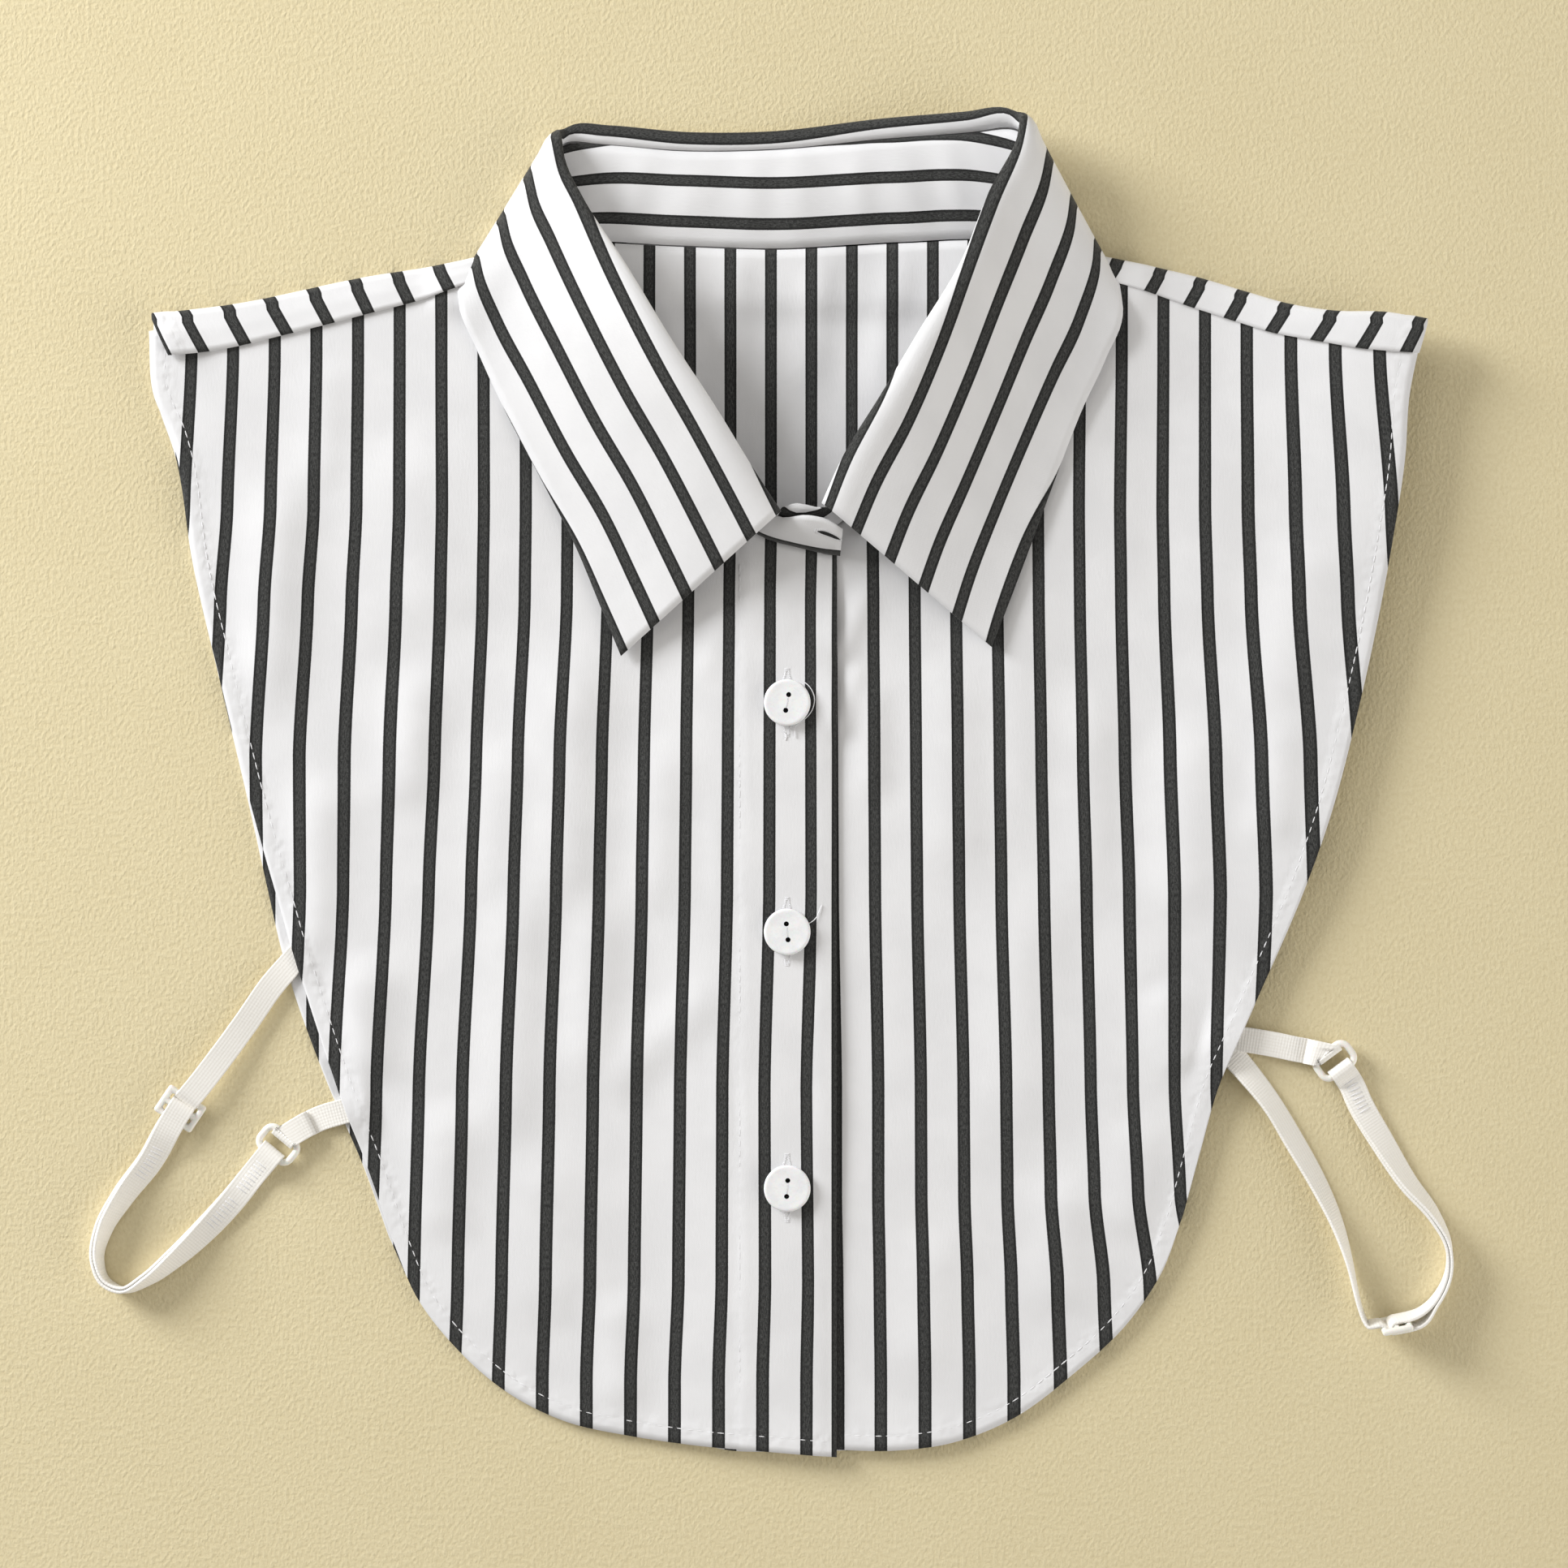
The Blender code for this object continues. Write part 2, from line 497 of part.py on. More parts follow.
def collar_section(row):
    """Return a section of the collar: its leaf points, and where the stand ends."""
    turn, rx, ry, rz, ex, ey, clear, nx, ny, inset, down = row
    roll = Vector((rx, ry, rz))
    out = Vector((ex - rx, ey - ry, 0)).normalized()
    tucked = Vector((ex, ey, FLOOR_MIDDLE))
    over = Vector((ex, ey, front_height(ex, ey) + clear))
    weight = (turn + 1) / 2
    edge = tucked.lerp(over, weight)
    if turn == 0:
        edge.z = (FLOOR_MIDDLE + back_height(ex, ey) + 2 * SHOULDER_ROLL + LAYER) / 2
    inner = Vector((-out.y, out.x, 0)) * (1 if rx < 5 else -1)
    aside = inner * (1 - abs(turn)) * CORNER_WIDTH
    up = Vector((0, 0, 1))
    reach, crest = (HOOK_REACH, 2 * ROLL_CREST) if turn > 0 else (ROLL_REACH, 0.9 * ROLL_CREST)
    before = roll + out * reach - up * turn * crest + aside
    after = roll + out * ROLL_REACH + up * turn * ROLL_CREST
    seam = roll + out * inset - up * down + aside
    foot = neck_foot(row)
    from_fold = min(abs(COLLAR.index(row) - fold) for fold in (LEFT_FOLD, RIGHT_FOLD))
    trim = seam_trim(foot, seam, before) + CORNER_GAP * max(0.0, 1 - from_fold / 2)
    points = [seam + (before - seam).normalized() * trim, before, roll + aside / 2, after]
    for share, high, low in LEAF_LEVELS:
        plan = roll.lerp(edge, share)
        kept = high * weight + low * (1 - weight)
        plan.z = edge.z + (after.z - edge.z) * kept
        points.append(plan)
    return points, seam + (foot - seam).normalized() * trim


def stand_section(foot, top):
    """Return points from the neck seam up to the top of the stand."""
    run = top - foot
    level = Vector((run.x, run.y, 0))
    bulge = run.cross(Vector((-level.y, level.x, 0))).normalized() * STAND_BULGE
    if bulge.z < 0:
        bulge = -bulge
    foot = foot + run.normalized() * STAND_SET
    run = top - foot
    return [foot + run * s + bulge * (4 * s * (1 - s)) for s in STAND_LEVELS]


def arc_between(middle, end):
    """Return the points half way round a quarter turn from middle to end."""
    share = 1 - math.cos(math.radians(45))
    points = []
    for m, e in zip(middle, end):
        p = m.lerp(e, share)
        p.z = m.z + (e.z - m.z) * math.sin(math.radians(45))
        points.append(p)
    return points


def with_arcs(sections, turns):
    """Add a section at each side of every diagonal fold to round it."""
    result = []
    for i, section in enumerate(sections):
        if turns[i] == 0:
            result.append(arc_between(section, sections[i - 1]))
        result.append(section)
        if turns[i] == 0:
            result.append(arc_between(section, sections[i + 1]))
    return result


def loft_knots(sections):
    """Return the running distance from section to section."""
    middle = len(sections[0]) // 2
    knots = [0.0]
    for before, after in zip(sections, sections[1:]):
        spans = [(after[k] - before[k]).length for k in (0, middle, -1)]
        knots.append(knots[-1] + sum(spans) / len(spans))
    return knots


def loft_places(knots):
    """Return places at every knot, and more where the knots lie far apart."""
    places = []
    for start, end in zip(knots, knots[1:]):
        parts = max(1, round((end - start) / COLLAR_STEP))
        places += [start + (end - start) * k / parts for k in range(parts)]
    return places + [knots[-1]]


def loft(sections, knots, places):
    """Join sections smoothly into rows of points at the given places."""
    rows = []
    for level in range(len(sections[0])):
        track = [section[level] for section in sections]
        slopes = slopes_of(track, knots)
        rows.append([curve_point(track, knots, slopes, place) for place in places])
    return rows


def fall_sections():
    """Return the sections of the turned-down collar with their knots."""
    sections = with_arcs([collar_section(row)[0] for row in COLLAR],
                         [row[0] for row in COLLAR])
    return sections, loft_knots(sections)


def neck_line(first, last):
    """Return the neck seam in plan between two sections, a point a column."""
    turns = [row[0] for row in COLLAR]
    feet = with_arcs([[neck_foot(row)] for row in COLLAR], turns)
    knots = fall_sections()[1]
    start, end = (knots[i + 2 * sum(turn == 0 for turn in turns[:i])] for i in (first, last))
    places = [place for place in loft_places(knots) if start <= place <= end]
    return [point.xy for point in loft(feet, knots, places)[0]]


def refine(rows, levels):
    """Add rows half way between the given ones, on the smooth cross-section."""
    result = []
    columns = list(zip(*rows))
    curves = []
    for column in columns:
        points = list(column)
        knots = knots_of(points)
        curves.append((points, knots, slopes_of(points, knots)))
    for j in range(len(rows)):
        result.append(rows[j])
        if j in levels:
            result.append([curve_point(p, k, s, (k[j] + k[j + 1]) / 2) for p, k, s in curves])
    return result


def collar_fall():
    """The turned-down collar: two points and the leaf below the back neck."""
    sections, knots = fall_sections()
    rows = refine(loft(sections, knots, loft_places(knots)), (1, 2))
    builder = bmesh.new()
    add_grid(builder, rows)
    return add_wall(finish("collar_fall", builder, "cotton_striped"), even_offset=False)


def collar_stand():
    """The neck band, with its buttonhole tab over the other front end."""
    tab_ends = []
    for nx, ny, tx, ty, rise in TAB_END[::-1]:
        foot = Vector((nx, ny, placket_height(nx, ny)))
        tab_ends.append(stand_section(foot, Vector((tx, ty, foot.z + rise))))
    ends = []
    for nx, ny, tx, ty, rise in UNDERTAB_END:
        foot = Vector((nx, ny, front_height(nx, ny)))
        ends.append(stand_section(foot, Vector((tx, ty, foot.z + rise))))
    band = [stand_section(neck_foot(row), collar_section(row)[1]) for row in COLLAR]
    band = with_arcs(band, [row[0] for row in COLLAR])
    shared = fall_sections()[1]
    before, after = loft_knots(tab_ends + band[:1]), loft_knots(band[-1:] + ends)
    knots = ([knot - before[-1] for knot in before] + shared[1:]
             + [shared[-1] + knot for knot in after[1:]])
    builder = bmesh.new()
    add_grid(builder, loft(tab_ends + band + ends, knots, loft_places(knots)))
    return add_wall(finish("collar_stand", builder, "cotton_striped"), even_offset=False)


# -------------------------------------------------------------------- buttons
def button(number, y):
    """A round shirt button with a raised rim and two sewing holes."""
    base = placket_height(BUTTON_X, y) + WALL / 2 + SEAM_GAP + 0.15
    profile = [(0.0, 0.0), (BUTTON_RADIUS - 1.2, 0.0), (BUTTON_RADIUS, 0.8),
               (BUTTON_RADIUS, 1.6), (BUTTON_RADIUS - 0.7, BUTTON_THICK),
               (BUTTON_RADIUS - 1.7, BUTTON_THICK - 0.5), (0.0, BUTTON_THICK - 0.6)]
    builder = bmesh.new()
    points = [builder.verts.new((r * MM, 0, z * MM)) for r, z in profile]
    edges = [builder.edges.new(pair) for pair in zip(points, points[1:])]
    bmesh.ops.spin(builder, geom=points + edges, axis=(0, 0, 1), cent=(0, 0, 0),
                   steps=BUTTON_SIDES, angle=math.tau, use_merge=True)
    bmesh.ops.remove_doubles(builder, verts=builder.verts, dist=0.01 * MM)
    bmesh.ops.recalc_face_normals(builder, faces=builder.faces)
    thing = finish(f"button_{number}", builder, "button_plastic")
    thing.location = (BUTTON_X * MM, y * MM, base * MM)
    holes = hole_cutter(f"holes_{number}", y, base)
    cut = thing.modifiers.new("sewing holes", "BOOLEAN")
    cut.operation = "DIFFERENCE"
    cut.object = holes
    return thing


def hole_cutter(name, y, base):
    """Two round pins that cut a button's sewing holes."""
    builder = bmesh.new()
    for direction in (-1, 1):
        made = bmesh.ops.create_cone(builder, cap_ends=True, segments=HOLE_SIDES,
                                     radius1=HOLE_RADIUS * MM, radius2=HOLE_RADIUS * MM,
                                     depth=4 * BUTTON_THICK * MM)
        bmesh.ops.translate(builder, verts=made["verts"],
                            vec=(0, direction * HOLE_OFFSET * MM, 0))
    thing = finish(name, builder, "button_plastic")
    thing.location = (BUTTON_X * MM, y * MM, base * MM)
    thing.hide_render = True
    thing.display_type = "WIRE"
    return thing


# --------------------------------------------------------------------- straps
def strap_frames(route):
    """Return frames along a strap: place, direction, across, face, spread."""
    plan = [Vector(row[:2]) for row in route]
    twists = [Vector((row[2], 0)) for row in route]
    knots = knots_of(plan)
    slopes, twist_slopes = slopes_of(plan, knots), slopes_of(twists, knots)
    frames = []
    for share in even(round(knots[-1] / STRAP_STEP)):
        place = share * knots[-1]
        span = max(i for i in range(len(knots) - 1) if i == 0 or knots[i] <= place)
        blend = smoothstep((place - knots[span]) / (knots[span + 1] - knots[span]))
        rise, spread = (route[span][k] + (route[span + 1][k] - route[span][k]) * blend
                        for k in (3, 4))
        here = curve_point(plan, knots, slopes, place)
        before = curve_point(plan, knots, slopes, max(0.0, place - 0.5))
        after = curve_point(plan, knots, slopes, min(knots[-1], place + 0.5))
        along = (after - before).normalized().to_3d()
        angle = math.radians(curve_point(twists, knots, twist_slopes, place).x)
        level = Vector((-along.y, along.x, 0))
        across = level * math.cos(angle) + Vector((0, 0, 1)) * math.sin(angle)
        z = (STRAP_WIDTH / 2 * abs(math.sin(angle))
             + (spread + WALL / 2) * abs(math.cos(angle)) + rise + STRAP_CLEAR)
        frames.append((Vector((here.x, here.y, z)), along, across, along.cross(across), spread))
    return frames


def ribbon(name, line):
    """Sweep elastic along a line of middle points with their width directions."""
    half = STRAP_WIDTH / 2
    builder = bmesh.new()
    add_grid(builder, [[place - across * half, place, place + across * half]
                       for place, across in line])
    return add_wall(finish(name, builder, "elastic_white"))


def bar_turn(centre, along, across, face):
    """Return the half turn of elastic round a bar, from the face side back."""
    line = []
    for degrees in (0, 36, 72, 108, 144, 180):
        angle = math.radians(degrees)
        line.append((centre + face * (BAR_TURN * math.cos(angle))
                     + along * (BAR_TURN * math.sin(angle)), across))
    return line


def strap(side, route, slider_place):
    """Elastic from the armhole through the slider, round the ring and back."""
    frames = strap_frames(route)
    nearest = min(range(len(frames)),
                  key=lambda i: (frames[i][0].xy - Vector(slider_place)).length)
    out = [(place + face * spread, across) for place, along, across, face, spread in frames]
    place, along, across, face, spread = frames[-1]
    turn = bar_turn(place, along, across, face)
    back = [(place - face * spread, across)
            for place, along, across, face, spread in frames[-2:nearest - 1:-1]]
    ribbon(f"strap_{side}", out[:-1] + turn + back)
    slider(f"slider_{side}", frames[nearest])
    return place, along, across


def slider(name, frame):
    """A flat slider: a frame with a bar across its middle."""
    place, along, across, face, spread = frame
    bars = [-SLIDER_HALF_BAR, -SLIDER_HALF_BAR + SLIDER_RIM,
            SLIDER_HALF_BAR - SLIDER_RIM, SLIDER_HALF_BAR]
    lengths = [-SLIDER_HALF_LENGTH, -SLIDER_HALF_LENGTH + SLIDER_RIM, -SLIDER_RIM / 2,
               SLIDER_RIM / 2, SLIDER_HALF_LENGTH - SLIDER_RIM, SLIDER_HALF_LENGTH]
    builder = bmesh.new()
    add_grid(builder, [[place + across * b + along * a for b in bars] for a in lengths])
    windows = []
    for open_face in builder.faces:
        middle = open_face.calc_center_median() / MM - place
        if abs(middle @ across) < SLIDER_RIM and abs(middle @ along) > SLIDER_RIM / 2:
            if abs(middle @ along) < SLIDER_HALF_LENGTH - SLIDER_RIM:
                windows.append(open_face)
    bmesh.ops.delete(builder, geom=windows, context="FACES")
    thing = finish(name, builder, "hardware_plastic")
    wall = thing.modifiers.new("plate", "SOLIDIFY")
    wall.thickness = SLIDER_THICK * MM
    wall.offset = 0.0
    return thing


def ring(name, centre, along, across):
    """A plastic ring with two straight bars and round corners."""
    points = []
    for quarter in range(4):
        right, far = ((1, 1), (-1, 1), (-1, -1), (1, -1))[quarter]
        middle = (centre + across * right * (RING_HALF_BAR - RING_CORNER)
                  + along * far * (RING_HALF_LENGTH - RING_CORNER))
        for k in range(RING_CORNER_STEPS + 1):
            angle = math.radians(quarter * 90 + k * 90 / RING_CORNER_STEPS)
            points.append(middle + (across * math.cos(angle)
                                    + along * math.sin(angle)) * RING_CORNER)
    data = bpy.data.curves.new(name, "CURVE")
    data.dimensions = "3D"
    data.bevel_depth = RING_WIRE * MM
    data.bevel_resolution = 1
    line = data.splines.new("POLY")
    line.points.add(len(points) - 1)
    for target, point in zip(line.points, points):
        target.co = (*(point * MM), 1.0)
    line.use_cyclic_u = True
    data.materials.append(material("hardware_plastic"))
    thing = bpy.data.objects.new(name, data)
    bpy.context.collection.objects.link(thing)
    return thing


def tab(side, route, bar, along, rise):
    """A short folded tab from the armhole edge round the ring's near bar."""
    plan = [Vector(point) for point in route] + [(bar - along * 0.1).xy, bar.xy]
    knots = knots_of(plan)
    slopes = slopes_of(plan, knots)
    lower, upper = [], []
    for share in even(TAB_CELLS):
        place = share * knots[-1]
        here = curve_point(plan, knots, slopes, place)
        before = curve_point(plan, knots, slopes, max(0.0, place - 0.5))
        ahead = (here - before).normalized() if share > 0 else slopes[0].normalized()
        if share == 1:
            ahead = -along.xy
        across = Vector((-ahead.y, ahead.x, 0))
        near = smoothstep((place - knots[-1] + TAB_SPREADING) / (TAB_SPREADING - 3.0))
        spread = LAID_SPREAD + (BAR_TURN - LAID_SPREAD) * near
        middle = Vector((here.x, here.y, bar.z + (spread - BAR_TURN) + rise * (1 - near)))
        upper.append((middle + Vector((0, 0, spread)), across))
        lower.append((middle - Vector((0, 0, spread)), across))
    turn = bar_turn(bar, -along, across, Vector((0, 0, 1)))
    ribbon(f"strap_tab_{side}", upper[:-1] + turn + lower[-2::-1])


def side_strap(side, route, slider_place, tab_route, tab_rise):
    """One side's elastic, slider, ring and tab."""
    place, along, across = strap(side, route, slider_place)
    centre = place + along * RING_HALF_LENGTH
    ring(f"ring_{side}", centre, along, Vector((-along.y, along.x, 0)))
    tab(side, tab_route, centre + along * RING_HALF_LENGTH, along, tab_rise)


def main():
    """Build every piece."""
    for old in list(bpy.data.objects):
        bpy.data.objects.remove(old, do_unlink=True)
    back_panel()
    front("front_left", "left", ARMHOLE_LEFT, SEAM_LEFT, HEM_LEFT, placket_height,
          PLACKET_RIGHT)
    front("front_right", "right", ARMHOLE_RIGHT, SEAM_RIGHT, HEM_RIGHT, front_height,
          PLACKET_LEFT)
    collar_stand()
    collar_fall()
    for number, y in enumerate(BUTTON_YS, start=1):
        button(number, y)
    side_strap("left", STRAP_LEFT, SLIDER_LEFT, TAB_LEFT, TAB_LEFT_RISE)
    side_strap("right", STRAP_RIGHT, SLIDER_RIGHT, TAB_RIGHT, TAB_RIGHT_RISE)


main()
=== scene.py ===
# %% [markdown]
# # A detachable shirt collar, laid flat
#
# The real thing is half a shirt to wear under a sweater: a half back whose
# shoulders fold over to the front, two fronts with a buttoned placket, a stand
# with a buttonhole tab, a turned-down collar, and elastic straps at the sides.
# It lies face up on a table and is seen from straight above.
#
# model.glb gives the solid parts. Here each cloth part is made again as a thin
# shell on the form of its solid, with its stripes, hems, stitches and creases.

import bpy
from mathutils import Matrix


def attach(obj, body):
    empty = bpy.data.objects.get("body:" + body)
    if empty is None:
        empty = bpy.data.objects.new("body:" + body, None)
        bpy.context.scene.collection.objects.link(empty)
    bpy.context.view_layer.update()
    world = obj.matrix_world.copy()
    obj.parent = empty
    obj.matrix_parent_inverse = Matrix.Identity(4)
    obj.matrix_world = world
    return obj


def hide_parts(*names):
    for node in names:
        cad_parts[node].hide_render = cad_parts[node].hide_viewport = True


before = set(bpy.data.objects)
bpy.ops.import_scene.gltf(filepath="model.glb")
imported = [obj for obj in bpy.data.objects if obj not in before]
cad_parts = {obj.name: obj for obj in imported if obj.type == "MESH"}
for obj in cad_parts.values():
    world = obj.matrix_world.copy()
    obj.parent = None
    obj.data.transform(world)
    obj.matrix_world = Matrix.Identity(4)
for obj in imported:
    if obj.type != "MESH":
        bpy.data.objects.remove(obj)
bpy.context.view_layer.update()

import math

import bmesh
import bpy
from mathutils import Matrix, Vector
from mathutils.kdtree import KDTree

MM = 0.001

# %% [markdown]
# ## Smooth curves through a few places
#
# A cutter marks a pattern with a few points and draws a fair curve through
# them. Hermite curves do the same: they pass through every mark, and a mark
# can be moved alone. A spline object could hold them too, but plain functions
# can be read at any share of the length, which is what a grid needs.


# %% Curve helpers
def smoothstep(value):
    """Return an S-shaped ramp from 0 to 1."""
    value = min(1.0, max(0.0, value))
    return value * value * (3 - 2 * value)


def knots_of(points):
    """Return the running distance along a row of points."""
    knots = [0.0]
    for before, after in zip(points, points[1:]):
        knots.append(knots[-1] + max((after - before).length, 1e-6))
    return knots


def slopes_of(points, knots):
    """Return the direction of the smooth curve at each of its points."""
    spans = [(points[i + 1] - points[i]) / (knots[i + 1] - knots[i])
             for i in range(len(points) - 1)]
    slopes = [spans[0]]
    for i in range(1, len(points) - 1):
        before, after = knots[i] - knots[i - 1], knots[i + 1] - knots[i]
        slopes.append((spans[i - 1] * after + spans[i] * before) / (before + after))
    slopes.append(spans[-1])
    return slopes


def curve_point(points, knots, slopes, place):
    """Return the point of a smooth curve at a place given in its knots."""
    last = len(points) - 2
    span = max(i for i in range(last + 1) if i == 0 or knots[i] <= place)
    width = knots[span + 1] - knots[span]
    t = min(1.0, max(0.0, (place - knots[span]) / width))
    return (points[span] * (2 * t ** 3 - 3 * t ** 2 + 1)
            + points[span + 1] * (3 * t ** 2 - 2 * t ** 3)
            + slopes[span] * (width * (t ** 3 - 2 * t ** 2 + t))
            + slopes[span + 1] * (width * (t ** 3 - t ** 2)))


def smooth_curve(points, knots):
    """Return a function that reads the smooth curve through points at a place."""
    slopes = slopes_of(points, knots)
    return lambda place: curve_point(points, knots, slopes, place)


def smooth_row(points, shares):
    """Return points at the given shares of the length of a smooth curve."""
    points = [Vector(p) for p in points]
    knots = knots_of(points)
    at = smooth_curve(points, knots)
    return [at(share * knots[-1]) for share in shares]


def even(count):
    """Return count + 1 shares from 0 to 1."""
    return [i / count for i in range(count + 1)]


def read_line(places, values, place):
    """Read a value between marks on a line, and past its ends at the last slope."""
    span = 0
    while span < len(places) - 2 and place > places[span + 1]:
        span += 1
    share = (place - places[span]) / (places[span + 1] - places[span])
    return values[span] + (values[span + 1] - values[span]) * share


def table_value(rows, column, place):
    """Read a table whose first column falls from row to row."""
    for above, below in zip(rows, rows[1:]):
        if place >= below[0]:
            share = min(1.0, max(0.0, (above[0] - place) / (above[0] - below[0])))
            return above[column] + (below[column] - above[column]) * smoothstep(share)
    return rows[-1][column]


def outline_x(outline, y):
    """Return where an armhole outline lies at a height y."""
    for above, below in zip(outline, outline[1:]):
        if y >= below[1]:
            share = min(1.0, max(0.0, (above[1] - y) / (above[1] - below[1])))
            return above[0] + (below[0] - above[0]) * share
    return outline[-1][0]


print("curve helpers ready")

# %% [markdown]
# ## Camera, light and table
#
# The camera looks straight down from 1.2 m, so the near layers of cloth show a
# little larger than the table. A soft light stands low at the upper left, which
# models every crease and lets the collar throw a shadow to the right. A much
# wider one behind it, like a pale wall, lets the shadows fade out slowly. A
# weak bounce from the right and a warm sky fill them. The table is a warm,
# faintly mottled sheet of paper.

# %% Camera and light
CAMERA = Vector((3.7, -0.2, 1200.0))     # mm above the floor
VIEW_WIDTH = 444.4                       # mm of floor across the picture
SENSOR, CLIP = 36.0, (0.05, 20.0)        # mm, and the range it sees in metres
# name, place, size in metres, power, colour
LIGHTS = [("window", (-1560.0, 977.0, 740.0), 0.9, 45.6, (0.98, 0.99, 1.0)),
          ("wall", (-1500.0, 1300.0, 1500.0), 2.6, 16.0, (1.0, 0.99, 0.97)),
          ("bounce", (1700.0, -700.0, 380.0), 2.2, 29.0, (1.0, 0.98, 0.95))]
SKY_COLOUR, SKY_STRENGTH = (1.0, 0.96, 0.89), 0.34


def look_through_camera():
    """Set the camera over the collar."""
    data = bpy.data.cameras.new("camera")
    data.sensor_width = SENSOR
    data.lens = SENSOR * CAMERA.z / VIEW_WIDTH
    data.clip_start, data.clip_end = CLIP
    camera = bpy.data.objects.new("camera", data)
    camera.location = CAMERA * MM
    bpy.context.collection.objects.link(camera)
    bpy.context.scene.camera = camera
    print("camera lens", round(data.lens, 1), "mm")


def soft_light(name, place, size, power, colour):
    """Add a round lamp that faces the middle of the table."""
    data = bpy.data.lights.new(name, "AREA")
    data.shape = "DISK"
    data.size = size
    data.energy = power
    data.color = colour
    lamp = bpy.data.objects.new(name, data)
    lamp.location = Vector(place) * MM
    lamp.rotation_euler = (-Vector(place)).to_track_quat("-Z", "Y").to_euler()
    bpy.context.collection.objects.link(lamp)
    print("lamp", name, power, "W")


def even_sky():
    """Fill the shadows with an even sky."""
    world = bpy.data.worlds.new("sky")
    world.use_nodes = True
    sky = world.node_tree.nodes["Background"]
    sky.inputs["Color"].default_value = (*SKY_COLOUR, 1.0)
    sky.inputs["Strength"].default_value = SKY_STRENGTH
    bpy.context.scene.world = world
    bpy.context.scene.view_settings.view_transform = "Standard"


look_through_camera()
for lamp in LIGHTS:
    soft_light(*lamp)
even_sky()

# %% [markdown]
# ## Small words for building materials
#
# A finish is a graph of nodes. These helpers name the few kinds of node that
# the finishes here need, so that each finish reads as a short recipe.


# %% Node helpers
def start_material(name, colour, rough, sockets=None):
    """Start a finish from its colour, roughness and other fixed values."""
    made = bpy.data.materials.new(name)
    made.use_nodes = True
    shader = made.node_tree.nodes["Principled BSDF"]
    shader.inputs["Base Color"].default_value = (*colour, 1.0)
    shader.inputs["Roughness"].default_value = rough
    for socket, value in (sockets or {}).items():
        shader.inputs[socket].default_value = value
    return made, made.node_tree, shader


def feed(tree, node, values):
    """Fill a node's sockets in order, by link or by value."""
    for socket, value in zip(node.inputs, values):
        if isinstance(value, bpy.types.NodeSocket):
            tree.links.new(value, socket)
        elif value is not None:
            socket.default_value = value


def maths(tree, operation, *values):
    """Return one sum on numbers."""
    node = tree.nodes.new("ShaderNodeMath")
    node.operation = operation
    feed(tree, node, values)
    return node.outputs[0]


def soft_range(tree, value, start, end, low=0.0, high=1.0):
    """Return low before start and high after end, with a soft step between."""
    node = tree.nodes.new("ShaderNodeMapRange")
    node.interpolation_type = "SMOOTHSTEP"
    feed(tree, node, (value, start, end, low, high))
    return node.outputs[0]


def stretched(tree, place, scale):
    """Return a place scaled by three factors."""
    node = tree.nodes.new("ShaderNodeVectorMath")
    node.operation = "MULTIPLY"
    feed(tree, node, (place, scale))
    return node.outputs[0]


def noise(tree, place, scale, detail=2.0):
    """Return a soft random number at a place."""
    node = tree.nodes.new("ShaderNodeTexNoise")
    node.inputs["Scale"].default_value = scale
    node.inputs["Detail"].default_value = detail
    tree.links.new(place, node.inputs["Vector"])
    return node.outputs[0]


def mixed(tree, share, first, second):
    """Return a mix of two colours."""
    node = tree.nodes.new("ShaderNodeMix")
    node.data_type = "RGBA"
    sockets = [socket for socket in node.inputs if socket.name in "AB"
               and socket.type == "RGBA"]
    tree.links.new(share, node.inputs[0])
    for socket, value in zip(sockets, (first, second)):
        if isinstance(value, bpy.types.NodeSocket):
            tree.links.new(value, socket)
        else:
            socket.default_value = (*value, 1.0)
    return [out for out in node.outputs if out.type == "RGBA"][0]


def painted(tree, shader, share, first, second):
    """Let a mix of two colours be the shader's colour."""
    tree.links.new(mixed(tree, share, first, second), shader.inputs["Base Color"])


def bumped(tree, shader, height, strength=1.0):
    """Let a height in millimetres turn the shader's normal."""
    node = tree.nodes.new("ShaderNodeBump")
    node.inputs["Strength"].default_value = strength
    node.inputs["Distance"].default_value = MM
    tree.links.new(height, node.inputs["Height"])
    tree.links.new(node.outputs[0], shader.inputs["Normal"])


def attribute(tree, name):
    """Return a number painted on the mesh."""
    node = tree.nodes.new("ShaderNodeAttribute")
    node.attribute_name = name
    return node.outputs["Fac"]


def weave_place(tree, scale=None):
    """Return the place on the weave map, and its two numbers."""
    weave = tree.nodes.new("ShaderNodeUVMap")
    weave.uv_map = "weave"
    place = stretched(tree, weave.outputs[0], scale) if scale else weave.outputs[0]
    split = tree.nodes.new("ShaderNodeSeparateXYZ")
    tree.links.new(place, split.inputs[0])
    return place, split.outputs[0], split.outputs[1]


def object_place(tree):
    """Return the place on the object in millimetres."""
    coordinates = tree.nodes.new("ShaderNodeTexCoord")
    return stretched(tree, coordinates.outputs["Object"], (1 / MM, 1 / MM, 1 / MM))


print("node helpers ready")

# %% [markdown]
# ## Striped cotton
#
# The cloth is a smooth cool white poplin with charcoal stripes woven in, one
# every 12 mm. The stripes could be an image, but the weave map says more: its
# first number counts stripes, so a stripe stands wherever that number is whole,
# on any piece and at any angle, and its second number counts along the stripe.
# Each stripe is darkest at its two edges, greyer in its middle, and flecked
# where white threads cross it. The bump holds the weave, and the pucker along
# each line of stitches.

